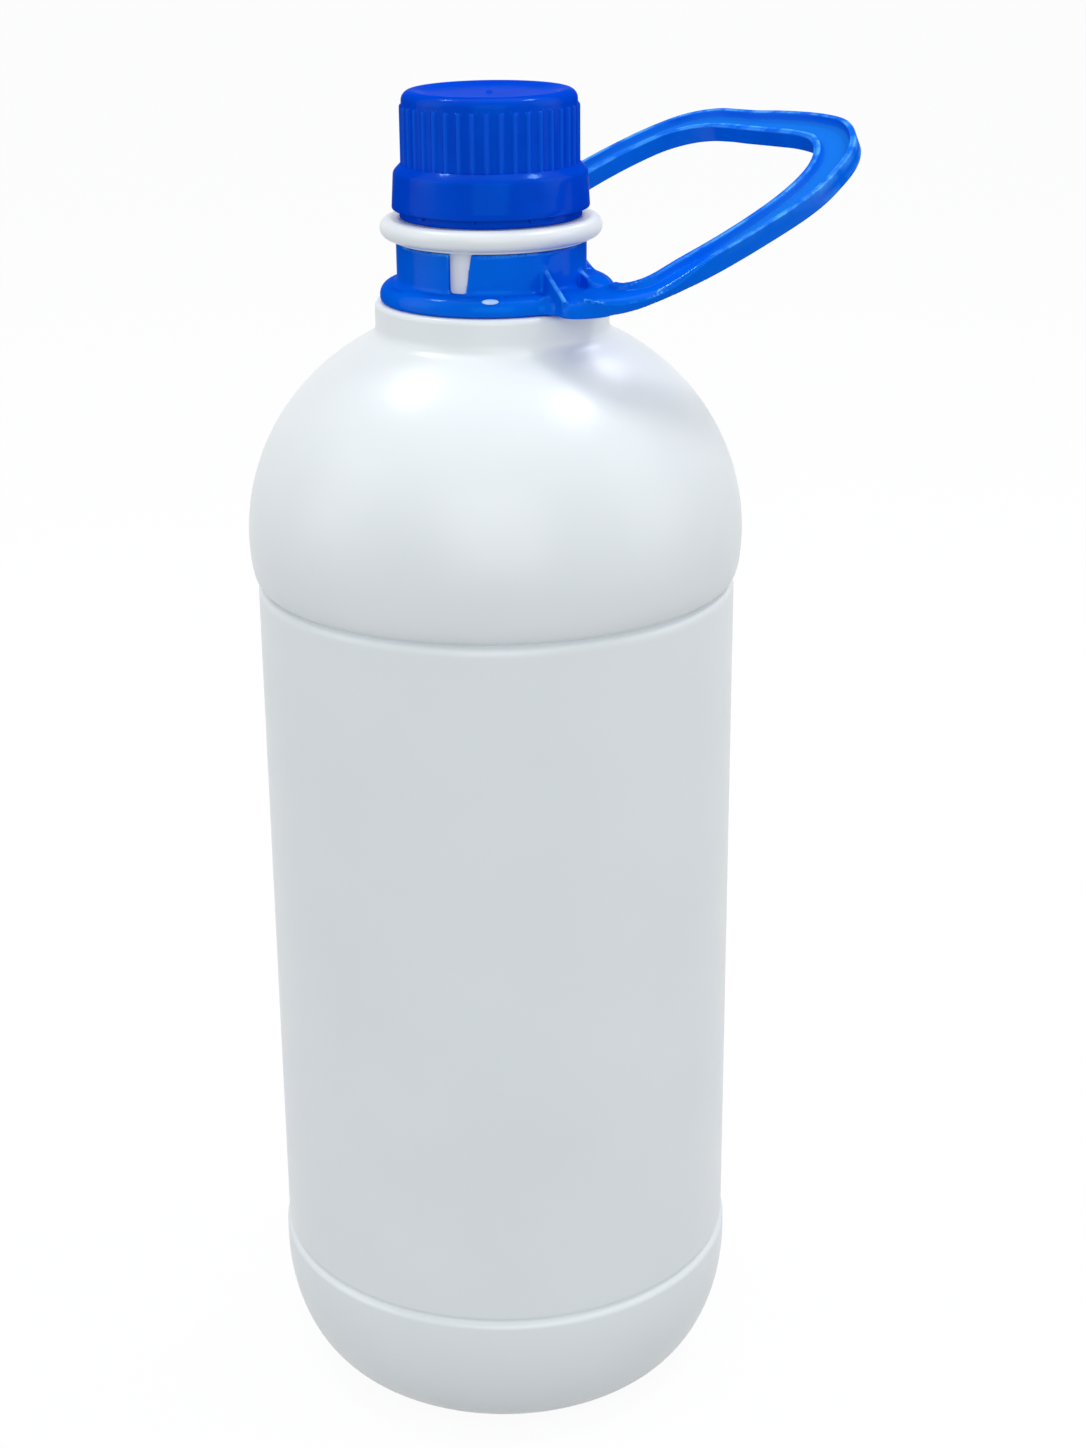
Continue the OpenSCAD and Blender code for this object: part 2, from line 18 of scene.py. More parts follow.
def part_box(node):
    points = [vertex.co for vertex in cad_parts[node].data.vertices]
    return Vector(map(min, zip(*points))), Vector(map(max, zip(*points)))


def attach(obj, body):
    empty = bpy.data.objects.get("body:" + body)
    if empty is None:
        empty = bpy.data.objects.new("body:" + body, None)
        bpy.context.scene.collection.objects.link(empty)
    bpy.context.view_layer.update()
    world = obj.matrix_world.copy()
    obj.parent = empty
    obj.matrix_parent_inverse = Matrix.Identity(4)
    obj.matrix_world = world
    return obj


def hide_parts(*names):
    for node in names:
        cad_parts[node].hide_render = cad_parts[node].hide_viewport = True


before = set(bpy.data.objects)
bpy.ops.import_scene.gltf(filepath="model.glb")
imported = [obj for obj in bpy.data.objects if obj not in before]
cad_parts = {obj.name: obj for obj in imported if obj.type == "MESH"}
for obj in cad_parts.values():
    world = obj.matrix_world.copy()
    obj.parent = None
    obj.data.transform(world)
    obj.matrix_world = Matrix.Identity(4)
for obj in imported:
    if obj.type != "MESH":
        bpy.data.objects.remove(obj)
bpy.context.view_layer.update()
MM = 0.001

# %% [markdown]
# ## Curves and turned surfaces
#
# Nearly everything on a bottle is round, so its pieces are drawn as half an outline, in
# millimetres, and turned about the axis. A lathe in code beats a cylinder with a modifier here:
# each ring of points lies where the outline says, and a ring can also swell or shrink with the
# angle, which gives grip ribs and a screw thread without cutting anything.

# %% Outline helpers


def oval(centre, across, up, start, end, steps):
    """Points of an ellipse about a centre, from one angle to another."""
    angles = [math.radians(start + (end - start) * i / steps) for i in range(steps + 1)]
    return [(centre[0] + across * math.cos(a), centre[1] + up * math.sin(a)) for a in angles]


def sweep(p, q, r, s, steps):
    """Points of a cubic curve from p to s, steered by q and r."""
    points = []
    for i in range(steps + 1):
        t = i / steps
        k = 1 - t
        weights = (k * k * k, 3 * k * k * t, 3 * k * t * t, t * t * t)
        points.append(tuple(sum(w * c[j] for w, c in zip(weights, (p, q, r, s))) for j in (0, 1)))
    return points


def run(a, b, steps):
    """Points of a straight stretch, with its far end left to what comes next."""
    return [(a[0] + (b[0] - a[0]) * i / steps, a[1] + (b[1] - a[1]) * i / steps) for i in range(steps)]


def smooth(low, high, value):
    """Zero below low, one above high, and an even slope between them."""
    t = min(1, max(0, (value - low) / (high - low)))
    return t * t * (3 - 2 * t)


print("a quarter oval in 4 steps", [(round(x, 2), round(y, 2)) for x, y in oval((0, 0), 2, 1, 0, 90, 4)])

# %% [markdown]
# ### From points to a piece
#
# Every piece becomes a mesh in the same way, and is told which body it rides on and which finish
# slot it fills. A plain number on each point can tell a finish where it has to differ.

# %% Objects, crisp corners and marks on points


def make_object(name, points, faces, body=None):
    """A shaded mesh object from points in millimetres, riding on a body."""
    mesh = bpy.data.meshes.new(name)
    mesh.from_pydata([tuple(c * MM for c in p) for p in points], [], faces)
    mesh.validate()
    mesh.shade_smooth()
    obj = bpy.data.objects.new(name, mesh)
    bpy.context.collection.objects.link(obj)
    if body:
        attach(obj, body)
    return obj


def crisp(obj, degrees):
    """Keeps the corners that are sharper than an angle crisp in the shading."""
    obj.data.set_sharp_from_angle(angle=math.radians(degrees))


def mark_points(mesh, name, values):
    """Writes a number on each point of a mesh, for its material to read."""
    mesh.attributes.new(name, "FLOAT", "POINT").data.foreach_set("value", values)


print("outlines are in millimetres and meshes in metres:", MM)

# %% [markdown]
# ### The lathe
#
# Blender's Screw modifier also turns a curve about an axis. Here the mesh is written point by
# point instead, so that the piece arrives closed, with its normals outwards, and each ring of
# points can swell as its maker needs.

# %% The lathe


def turned(name, outline, columns, body=None, swell=None):
    """Turns an outline of (radius, height) about Z. It starts and ends on the axis, or is a ring."""
    points, rings = [], []
    for radius, height in outline:
        if radius < 1e-6:
            rings.append([len(points)] * columns)
            points.append((0, 0, height))
            continue
        rings.append(list(range(len(points), len(points) + columns)))
        for i in range(columns):
            angle = 2 * math.pi * i / columns
            r = radius + (swell(radius, height, angle) if swell else 0)
            points.append((r * math.cos(angle), r * math.sin(angle), height))
    closed = outline[0][0] > 1e-6
    pairs = zip(rings, rings[1:] + rings[:1]) if closed else zip(rings, rings[1:])
    faces = []
    for low, high in pairs:
        for i in range(columns):
            j = (i + 1) % columns
            face = [low[i], low[j], high[j], high[i]]
            faces.append(list(dict.fromkeys(face)))
    return make_object(name, points, faces, body)


# %% [markdown]
# ## Materials
#
# Three plastics are on show, a blown white and two moulded blues. Beside them are a pale
# plastic for one small painted glint and the foam inside the cap. Each is a small node tree on the
# standard surface shader, with a drifting colour, an uneven roughness and layers of bump. One
# function adds a node, and one turns the sRGB colours that we read into the linear ones that it wants.

# %% Node and colour helpers


def linear(code):
    """A linear colour from an sRGB hex value."""
    channels = [int(code[i:i + 2], 16) / 255 for i in (1, 3, 5)]
    return [c / 12.92 if c <= 0.04045 else ((c + 0.055) / 1.055) ** 2.4 for c in channels] + [1]


def add(tree, kind, settings=None, links=None):
    """Adds a node, sets its sockets or properties, and links what is given as (node, output)."""
    node = tree.nodes.new(kind)
    for key, value in (settings or {}).items():
        if isinstance(key, int) or key in node.inputs:
            node.inputs[key].default_value = value
        else:
            setattr(node, key, value)
    for key, (source, output) in (links or {}).items():
        tree.links.new(source.outputs[output], node.inputs[key])
    return node


def per_mm(size_mm):
    """Texture scale, in metres of object space, of a pattern that repeats every size_mm."""
    return 1 / (size_mm * MM)


def new_material(name):
    """An empty node material with its output."""
    material = bpy.data.materials.new(name)
    material.use_nodes = True
    material.node_tree.nodes.clear()
    tree = material.node_tree
    return material, tree, tree.nodes.new("ShaderNodeOutputMaterial")


print("a middle grey is", round(linear("#808080")[0], 3), "in linear light")

# %% [markdown]
# ### What a mould leaves on plastic, and a painted highlight
#
# A moulded face is never quite one colour or one gloss. A slow noise lets the colour drift, a
# finer one lets the gloss wander, and along edges that look up a paler tone in broken lines is a
# painted highlight. Image textures could carry all this, but noise in millimetres needs no unwrapping.

# %% Colour that drifts, gloss that wanders and a painted highlight on edges


def noise(tree, place, size_mm, detail):
    """A noise in object space, with patches of a size in millimetres."""
    return add(tree, "ShaderNodeTexNoise", {"Scale": per_mm(size_mm), "Detail": detail},
               {"Vector": (place, "Object")})


def uneven(tree, place, size_mm, detail, low=0.0, high=1.0, start=0.3, end=0.7):
    """A number that wanders from low to high in patches of a size in millimetres."""
    return add(tree, "ShaderNodeMapRange",
               {"From Min": start, "From Max": end, "To Min": low, "To Max": high},
               {"Value": (noise(tree, place, size_mm, detail), "Fac")})


def paint_edge_highlight(tree, place, colour, tone, size_mm):
    """Mixes a paler tone into a colour along the edges that the mesh marks, as a painted highlight."""
    highlit_edge = add(tree, "ShaderNodeAttribute", {"attribute_name": "edge"})
    broken = uneven(tree, place, size_mm, 4.0, 0.15, 1.0, 0.42, 0.6)
    share = add(tree, "ShaderNodeMath", {"operation": "MULTIPLY"},
                {0: (highlit_edge, "Fac"), 1: (broken, "Result")})
    return add(tree, "ShaderNodeMix", {"data_type": "RGBA", 7: linear(tone)},
               {0: (share, 0), 6: (colour, 2)})


print("a pattern of 14 mm has a scale of", round(per_mm(14), 1))

# %% [markdown]
# ### Gloss, grain and a painted sheen
#
# Deep blue plastic shows its lamps as tinted glints, and stays deep in colour where it turns
# away from the eye, so its gloss is tinted and fades there. Some places have their own finish:
# the loop's web is grained like the spark-cut steel that formed it, and the backs of the cap's ribs
# get a lighter tone, a painted sheen. The mesh says where.

# %% Gloss that fades, grain and a painted sheen


def fade_gloss(tree, shader, level, tint):
    """Tints the highlights, and lets them fade where the surface turns away from the eye."""
    shader.inputs["Specular Tint"].default_value = linear(tint)
    away = add(tree, "ShaderNodeLayerWeight", {"Blend": 0.5})
    fading = add(tree, "ShaderNodeMapRange",
                 {"From Min": 0.2, "From Max": 0.45, "To Min": level, "To Max": 0.0001},
                 {"Value": (away, "Facing")})
    tree.links.new(fading.outputs["Result"], shader.inputs["Specular IOR Level"])


def grow_grain_and_sheen(tree, place, shader, colour, rough, grain_and_sheen):
    """Gives a marked place its own tone, roughness and fine bump, and returns that bump; on the cap's ribs
    the lighter tone is a painted sheen.
    """
    attribute, tone, size_mm, height_mm, grain_rough = grain_and_sheen
    where = add(tree, "ShaderNodeAttribute", {"attribute_name": attribute})
    toned = add(tree, "ShaderNodeMix", {"data_type": "RGBA", 7: linear(tone)},
                {0: (where, "Fac"), 6: (colour, 2)})
    dulled = add(tree, "ShaderNodeMix", {"data_type": "FLOAT", 3: grain_rough},
                 {0: (where, "Fac"), 2: (rough, "Result")})
    fine = noise(tree, place, size_mm, 1.0)
    patchy = add(tree, "ShaderNodeMath", {"operation": "MULTIPLY"}, {0: (where, "Fac"), 1: (fine, "Fac")})
    tree.links.new(toned.outputs[2], shader.inputs["Base Color"])
    tree.links.new(dulled.outputs[0], shader.inputs["Roughness"])
    return add(tree, "ShaderNodeBump", {"Strength": 1.0, "Distance": height_mm * MM},
               {"Height": (patchy, "Value")})


# %% [markdown]
# ### One recipe for moulded plastic
#
# All the plastics here differ in numbers, not in kind, so one recipe makes them: tones, gloss,
# waves of bump from the widest to the finest, and the extras above where a piece has them.

# %% The recipe


def moulded_plastic(name, tones, drift_mm, roughness, rough_mm, bumps, ior, specular, grain_and_sheen=None,
                    tint=None, edge=None):
    """A moulded plastic: drifting colour, uneven roughness and layers of bump.

    tones are two sRGB hex values, roughness is a low and a high, and bumps is a list of
    (pattern size in mm, height in mm). A grain_and_sheen is (a mesh attribute that says where, a
    tone, a pattern size and a height in mm, a roughness). A tint colours the highlights, and an
    edge is the tone of a painted highlight along the edges that the mesh marks.
    """
    material, tree, output = new_material(name)
    place = add(tree, "ShaderNodeTexCoord")
    drift = uneven(tree, place, drift_mm, 3.0)
    colour = add(tree, "ShaderNodeMix", {"data_type": "RGBA", 6: linear(tones[0]), 7: linear(tones[1])},
                 {0: (drift, "Result")})
    # painted highlight: a paler tone in broken lines along the upward edges that the mesh marks
    if edge:
        colour = paint_edge_highlight(tree, place, colour, edge, rough_mm)
    rough = uneven(tree, place, rough_mm, 4.0, *roughness)
    shader = add(tree, "ShaderNodeBsdfPrincipled", {"IOR": ior, "Specular IOR Level": specular},
                 {"Base Color": (colour, 2), "Roughness": (rough, "Result")})
    if tint:
        fade_gloss(tree, shader, specular, tint)
    last = grow_grain_and_sheen(tree, place, shader, colour, rough, grain_and_sheen) if grain_and_sheen else None
    for size_mm, height_mm in bumps:
        links = {"Height": (noise(tree, place, size_mm, 2.0), "Fac")}
        if last:
            links["Normal"] = (last, "Normal")
        last = add(tree, "ShaderNodeBump", {"Strength": 1.0, "Distance": height_mm * MM}, links)
    tree.links.new(last.outputs["Normal"], shader.inputs["Normal"])
    tree.links.new(shader.outputs["BSDF"], output.inputs["Surface"])
    return material


# %% [markdown]
# ### The blown white
#
# The bottle is high-density polyethylene, blown against a cool mould. It is white with a cold
# cast, its gloss is soft, and long shallow waves show where the tube of plastic stretched.

# %% Blown polyethylene
blown_hdpe = moulded_plastic("blown_white_hdpe", ("#E5EAED", "#E2E7EA"), 42, (0.28, 0.36), 9,
                             [(30, 0.05), (7, 0.008), (1.1, 0.0016)], 1.54, 0.5)
print(blown_hdpe.name, len(blown_hdpe.node_tree.nodes), "nodes")

# %% [markdown]
# ### The moulded blues
#
# The handle and the cap come from injection moulds: polyethylene for the handle, which has to
# flex, and a deeper polypropylene for the cap. They are glossier than the bottle and more even.
# The handle's upward edges carry a painted highlight, a paler tone in broken lines, and its web is
# grained. The backs of the cap's ribs get a lighter tone, a painted sheen. A small pale oval on the
# flange is a painted glint, and the cap's liner is a foam.

# %% Injection moulded blues, a painted glint and a foam
# the handle's edge tone #50AAFF is a painted highlight on its upward edges
moulded_pe = moulded_plastic("moulded_blue_polyethylene", ("#0063E6", "#005BDA"), 14, (0.1, 0.17), 5,
                             [(7, 0.05), (1.8, 0.014)], 1.51, 0.4,
                             grain_and_sheen=("web", "#1873DC", 0.7, 0.05, 0.45), tint="#30BCFF", edge="#50AAFF")
# the rib tone #0A50D6 is a painted sheen on the backs of the cap's ribs
moulded_pp = moulded_plastic("moulded_blue_polypropylene", ("#0046CE", "#003EC4"), 11, (0.1, 0.17), 4,
                             [(5, 0.03), (1.4, 0.01)], 1.49, 0.24,
                             grain_and_sheen=("rib", "#0A50D6", 0.7, 0.004, 0.16), tint="#30BCFF")
# a pale blue plastic for a painted glint on the flange's front edge
glint_pe = moulded_plastic("painted_glint_polyethylene", ("#A9CEFC", "#BBD8FA"), 2, (0.4, 0.5), 2,
                             [(0.8, 0.03)], 1.51, 0.3)
liner_foam = moulded_plastic("foamed_polyethylene", ("#F0F0EC", "#E6E6E0"), 3, (0.7, 0.9), 2,
                             [(0.6, 0.05)], 1.5, 0.3)
print("materials", [m.name for m in (blown_hdpe, moulded_pe, moulded_pp, glint_pe, liner_foam)])


# %% [markdown]
# ## The blown bottle
#
# On the real bottle one tube of soft plastic is blown out against a mould, so its outside is one
# smooth curve: a rounded heel, a foot band, a groove, a straight panel, a waist, a dome and a
# pedestal for the handle. The neck above is squeezed to size, with a transfer ring, a bead and a
# thread. A lathe gives all of it in one closed skin, with a true inside. The outline follows the
# frame's sizes, with finer steps and small rounds where the mould has them.

# %% Sizes of the bottle, in millimetres
panel_r = 57.2
panel_h = 174
body_wall = 1.2
heel_h = 31.2
heel_w = 17.6
band_h = 5.3
band_proud = 0.6
groove_d = 0.5
foot_w = 4.6
pushup_h = 4.5
waist_d = 1.3
belly_h = 11.4
belly_proud = 1.7
dome_across_r = 56.7
dome_up_r = 53.1
pedestal_r = 27.25
neck_r = 20.4
neck_wall = 1.8
ring_tube_r = 2.35
finish_r = 17.6
finish_wall = 2.0
lip_r = 22.58
bead_h = 2.2
mouth_round = 0.8

groove_z = heel_h + band_h
panel_top_z = groove_z + panel_h
waist_z = panel_top_z + 0.6
belly_z = waist_z + belly_h
band_r = panel_r + band_proud
belly_r = panel_r + belly_proud
waist_r = panel_r - waist_d
dome_axis_r = belly_r - dome_across_r
foot_r = band_r - heel_w
print("panel", 2 * panel_r, "mm across, belly", 2 * belly_r)

# %% Heights of the neck, from the frame
neck_top_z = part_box("bottle")[1].z / MM
collar_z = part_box("handle")[0].z / MM
tamper_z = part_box("tamper_ring")[0].z / MM
tamper_top_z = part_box("tamper_ring")[1].z / MM
skirt_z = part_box("cap")[0].z / MM
cap_top_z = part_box("cap")[1].z / MM
liner_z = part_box("cap_liner")[0].z / MM
liner_top_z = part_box("cap_liner")[1].z / MM
seat_gap = 0.1
ledge_z = tamper_z - seat_gap
pedestal_top_z = collar_z - seat_gap
bead_z = tamper_top_z + 0.3
bead_r = 19.3
bore_r = finish_r - finish_wall
ring_inset = 0.7
ring_r = lip_r + ring_inset
ring_half_h = math.sqrt(ring_tube_r ** 2 - ring_inset ** 2)
ring_z = ledge_z - ring_half_h
lip_z = ring_z - ring_half_h - 0.7
print("mouth at", round(neck_top_z, 2), "pedestal at", round(pedestal_top_z, 2))

# %% [markdown]
# ### The blown outside
#
# The heel and the dome are quarter ovals, because a blown wall settles into ovals. The band, the
# groove and the waist are short curves between them, with the small rounds that a blown wall
# always has: plastic doesn't fill a sharp corner of a mould.

# %% Outline of the body


def dome_height(radius, wall):
    """Height of the dome above its widest line, at a radius, under a wall."""
    return (dome_up_r - wall) * math.sqrt(1 - ((radius - dome_axis_r) / (dome_across_r - wall)) ** 2)


def outside_of_body():
    """The blown outside, from the middle of the base to the top of the pedestal."""
    pedestal_z = belly_z + dome_height(pedestal_r, 0)
    dome_end = math.degrees(math.acos((pedestal_r - dome_axis_r) / dome_across_r)) - 2.5
    dome = oval((dome_axis_r, belly_z), dome_across_r, dome_up_r, 0, dome_end, 60)
    ring_in = foot_r - foot_w
    base = run((0, pushup_h), (ring_in - 5, pushup_h - 0.7), 8)
    base += sweep((ring_in - 5, pushup_h - 0.7), (ring_in - 2.5, pushup_h - 1.2),
                  (ring_in - 1.5, 0), (ring_in, 0), 12)
    heel = run((ring_in, 0), (foot_r, 0), 3)[1:] + oval((foot_r, heel_h), heel_w, heel_h, -90, 0, 48)
    band = sweep((band_r, groove_z - 1.9), (band_r, groove_z - 0.5),
                 (panel_r - groove_d, groove_z - 0.6), (panel_r - groove_d, groove_z), 10)
    foot = sweep((panel_r - groove_d, groove_z + 0.2), (panel_r - groove_d, groove_z + 0.8),
                 (panel_r, groove_z + 0.6), (panel_r, groove_z + 1.8), 10)
    panel = run((panel_r, groove_z + 1.8), (panel_r, panel_top_z - 2.2), 60)[1:]
    waist = sweep((panel_r, panel_top_z - 2.2), (panel_r, panel_top_z - 0.6),
                  (panel_r - 0.4, panel_top_z), (waist_r - 0.1, waist_z - 0.25), 12)
    crease = [(waist_r - 0.3, waist_z - 0.1), (waist_r - 0.3, waist_z + 0.1), (waist_r, waist_z + 0.2)]
    belly = sweep((waist_r + 0.25, waist_z + 0.3), (waist_r + 1.9, waist_z + 0.9),
                  (belly_r - 0.2, waist_z + 3.6), (belly_r, belly_z), 30)
    foot_of_pedestal = sweep(dome[-1], (pedestal_r + 0.4, pedestal_z + 0.05),
                             (pedestal_r, pedestal_z + 0.7), (pedestal_r, pedestal_z + 2.2), 10)
    edge = oval((pedestal_r - 1.3, pedestal_top_z - 1.3), 1.3, 1.3, 0, 90, 8)
    body = base + heel + band + foot + panel + waist + crease + belly[:-1]
    return body + dome[:-1] + foot_of_pedestal + edge


print("body", len(outside_of_body()), "points, widest", round(max(r for r, z in outside_of_body()), 2))

# %% [markdown]
# ### The squeezed neck
#
# The neck is nipped between steel inserts, so it is crisper than the body: a round transfer ring
# that carries the bottle through the filling line, a ledge, a bead under the thread, and a
# rounded mouth. Where the thread will stand, the outline has close rows, ready to swell.

# %% Outline of the neck


def outside_of_neck():
    """The squeezed neck, from the pedestal to the mouth, with rows close enough for a thread."""
    open_angle = math.degrees(math.acos(ring_inset / ring_tube_r))
    ring = oval((ring_r, ring_z), ring_tube_r, ring_tube_r, open_angle - 180, 180 - open_angle, 36)
    thread_zone = bead_z + bead_h + 4
    rows = int((neck_top_z - mouth_round - thread_zone) / 0.3)
    neck = [(neck_r + 0.4, pedestal_top_z), (neck_r, pedestal_top_z + 0.4)]
    neck += [(neck_r, lip_z - 0.2), (neck_r + 0.2, lip_z), (lip_r - 0.2, lip_z)]
    bead = [(finish_r, ledge_z), (finish_r, bead_z), (bead_r - 0.2, bead_z), (bead_r, bead_z + 0.2),
            (bead_r, bead_z + 0.6), (finish_r, bead_z + bead_h)]
    wall = run((finish_r, thread_zone), (finish_r, neck_top_z - mouth_round), rows)
    mouth = oval((finish_r - mouth_round, neck_top_z - mouth_round), mouth_round, mouth_round, 0, 90, 6)
    return neck + ring + bead + wall + mouth


print("neck", len(outside_of_neck()), "points, its ring", round(2 * (ring_r + ring_tube_r), 2), "mm across")

# %% [markdown]
# ### The inside
#
# A thickness modifier would push the wall through itself at the ring and the bead, so the inside
# is its own outline. It is a little plainer than the outside, as the inside of a blown wall is.

# %% Outline of the inside


def inside_of_bottle():
    """The inside, from the mouth down to the middle of the base."""
    w = body_wall
    roof_z = belly_z + dome_height(pedestal_r - w, w)
    dome_end = math.degrees(math.acos((pedestal_r - w - dome_axis_r) / (dome_across_r - w)))
    neck = [(bore_r + 0.4, neck_top_z), (bore_r, neck_top_z - 0.4), (bore_r, lip_z + 1),
            (neck_r - neck_wall, lip_z - 4), (neck_r - neck_wall, pedestal_top_z - w),
            (pedestal_r - w - 1.2, pedestal_top_z - w), (pedestal_r - w, pedestal_top_z - w - 1.2)]
    dome = oval((dome_axis_r, belly_z), dome_across_r - w, dome_up_r - w, dome_end, 0, 40)
    waist = [(waist_r - w, waist_z + 1.5), (waist_r - w, waist_z - 1.5)]
    panel = [(panel_r - w, panel_top_z - 3.5), (panel_r - w, groove_z + 2.5),
             (panel_r - groove_d - w, groove_z + 1), (panel_r - groove_d - w, groove_z - 1),
             (band_r - w, groove_z - 2.5)]
    heel = oval((foot_r, heel_h), heel_w - w, heel_h - w, 0, -90, 30)
    base = [(foot_r - foot_w, w), (foot_r - foot_w - 5, pushup_h - 0.7 + w), (0, pushup_h + w)]
    return neck + [(pedestal_r - w, roof_z)] + dome[1:] + waist + panel + heel + base


print("inside", len(inside_of_bottle()), "points")

# %% [markdown]
# ### The screw thread
#
# A thread is a ridge that climbs as it turns. A separate coil would have to be joined to the
# neck. As a swelling of the lathe's close rows it is part of the skin, and it fades in and out
# at its two ends, as a real one does.

# %% The screw thread, as a swelling of the neck
pitch = 4.0
thread_turns = 1.5
thread_h = 1.1
thread_gap = 0.35
thread_foot_z = 309.37
fade_turns = 0.15


def ridge(height, angle, foot_z, root_w=2.3, crest_w=0.8):
    """How much of a thread stands at a height and an angle, from none to one."""
    turn = angle / (2 * math.pi)
    best = 0
    for lap in range(int(thread_turns) + 1):
        along = turn + lap
        fade = smooth(0, fade_turns, along) * smooth(0, fade_turns, thread_turns - along)
        away = abs(height - (foot_z + pitch * along))
        rise = 1 - min(1, max(0, (away - crest_w / 2) / ((root_w - crest_w) / 2)))
        best = max(best, rise * fade)
    return best


def neck_swell(radius, height, angle):
    """The thread on the neck's outside, and nothing elsewhere."""
    on_finish = abs(radius - finish_r) < 0.01 and height > bead_z + bead_h
    return thread_h * ridge(height, angle, thread_foot_z) if on_finish else 0


print("the thread climbs", pitch * thread_turns, "mm in", thread_turns, "turns")

# %% [markdown]
# ### Turn the bottle
#
# One call turns the three outlines into a closed skin, and corners above 42 degrees stay crisp.

# %% Make the bottle
bottle_columns = 192
bottle_outline = outside_of_body() + outside_of_neck() + inside_of_bottle()
bottle = turned("blown_bottle", bottle_outline, bottle_columns, "bottle", neck_swell)
crisp(bottle, 42)
bottle.data.materials.append(blown_hdpe)
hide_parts("bottle")
print("bottle", len(bottle.data.polygons), "faces")


# %% [markdown]
# ## The cap
#
# The cap is one moulding: a dished top with a little pip where the plastic came in, a ribbed
# shell, a 45 degree shoulder and a flared skirt. The forty ribs are rounded on their backs and
# their tops. They could be forty small solids, but a rib that fades into the shell is easier
# as a swelling of the lathe's rings, and the shell stays one closed skin.

# %% Sizes of the cap
cap_wall = 1.0
cap_bore_r = finish_r + thread_h + thread_gap
cap_r = cap_bore_r + cap_wall
rib_count = 40
rib_proud = 0.5
rib_round_r = 0.8
rib_r = cap_r + rib_proud
cap_edge_r = 2.3
dish_d = 0.8
skirt_h = 8.3
skirt_in_r = 21.3
skirt_r = 22.75
skirt_draft = 0.45
skirt_top_z = skirt_z + skirt_h
shoulder_z = skirt_top_z + (skirt_r - skirt_draft - rib_r)
rib_top_z = cap_top_z - cap_edge_r - 0.8
cap_roof_z = liner_top_z + seat_gap
cap_thread_z = thread_foot_z - pitch / 2 + thread_gap
print("cap", round(2 * rib_r, 2), "mm over its ribs, skirt", 2 * skirt_r)

# %% [markdown]
# ### Ribs and thread of the cap
#
# A rib's back is part of a cylinder that stands half a millimetre out of the shell, and its top
# is rounded off. The bore swells inwards with the same ridge as the neck's thread, almost half
# a pitch lower, so that the two threads pass each other with clearance.

# %% How the cap swells


def rib(angle):
    """How far a rib's round back stands proud of the shell at an angle, in millimetres."""
    step = 2 * math.pi / rib_count
    off = (angle + step / 2) % step - step / 2
    centre = rib_r - rib_round_r
    reach = rib_round_r ** 2 - (centre * math.sin(off)) ** 2
    return max(0, centre * math.cos(off) + math.sqrt(reach) - cap_r) if reach > 0 else 0


def cap_swell(radius, height, angle):
    """Ribs on the shell's outside and the thread in its bore."""
    if abs(radius - cap_r) < 0.01 and height > shoulder_z - 0.01:
        rounded = min(1, max(0, (rib_top_z - height) / rib_round_r))
        return rib(angle) * math.sqrt(1 - (1 - rounded) ** 2)
    if abs(radius - cap_bore_r) < 0.01:
        return -(cap_bore_r - finish_r - thread_gap) * ridge(height, angle, cap_thread_z)
    return 0


print("a rib stands", round(rib(0), 2), "mm proud")

# %% [markdown]
# ### Outline of the cap
#
# From the pip in the middle of the dish, the outline runs over the rounded edge, down the shell
# and the shoulder to the skirt's foot, and back up the bore to the roof.

# %% Outline of the cap


def cap_outline():
    """From the middle of the dish, down the outside, and up the inside to the roof's middle."""
    rim = cap_r - cap_edge_r - 0.6
    dish_z = cap_top_z - dish_d
    pip = [(0, dish_z + 0.5), (0.35, dish_z + 0.45), (0.6, dish_z + 0.2), (0.9, dish_z)]
    dish = pip + run((1.2, dish_z), (rim - 6, dish_z), 5)
    dish += list(reversed(sweep((rim, cap_top_z), (rim - 1.5, cap_top_z - 0.1),
                                (rim - 3, dish_z), (rim - 6, dish_z), 12)))
    edge = oval((cap_r - cap_edge_r, cap_top_z - cap_edge_r), cap_edge_r, cap_edge_r, 90, 0, 12)
    shell = [(cap_r, cap_top_z - cap_edge_r - 0.15)] + run((cap_r, rib_top_z), (cap_r, rib_top_z - 1), 12)
    shell += run((cap_r, rib_top_z - 1), (cap_r, shoulder_z), 8) + [(cap_r, shoulder_z)]
    shoulder = [(rib_r + 0.05, shoulder_z - 0.08)]
    corner = skirt_r - skirt_draft
    shoulder += sweep((rib_r + 0.2, shoulder_z - 0.2), (corner - 0.35, skirt_top_z + 0.35),
                      (corner - 0.02, skirt_top_z + 0.1), (corner, skirt_top_z - 0.8), 8)
    skirt = run((corner + 0.02, skirt_top_z - 1), (skirt_r, skirt_z + 0.35), 6)
    foot = [(skirt_r, skirt_z + 0.35), (skirt_r - 0.1, skirt_z + 0.1), (skirt_r - 0.35, skirt_z),
            (skirt_in_r + 0.2, skirt_z), (skirt_in_r, skirt_z + 0.2)]
    bore = run((cap_bore_r, skirt_top_z), (cap_bore_r, cap_roof_z), 40)
    inside = [(skirt_in_r, skirt_top_z - 3)] + bore + [(cap_bore_r - 0.01, cap_roof_z), (0, cap_roof_z)]
    return dish + edge + shell + shoulder + skirt + foot + inside


print("cap outline", len(cap_outline()), "points")

# %% [markdown]
# ### Turn the cap
#
# Fourteen columns a rib keep its back round. The mesh then marks the backs of the ribs, where a
# lighter tone paints the sheen that they catch.

# %% Make the cap
columns_a_rib = 14
cap = turned("screw_cap", cap_outline(), columns_a_rib * rib_count, "cap", cap_swell)
crisp(cap, 50)
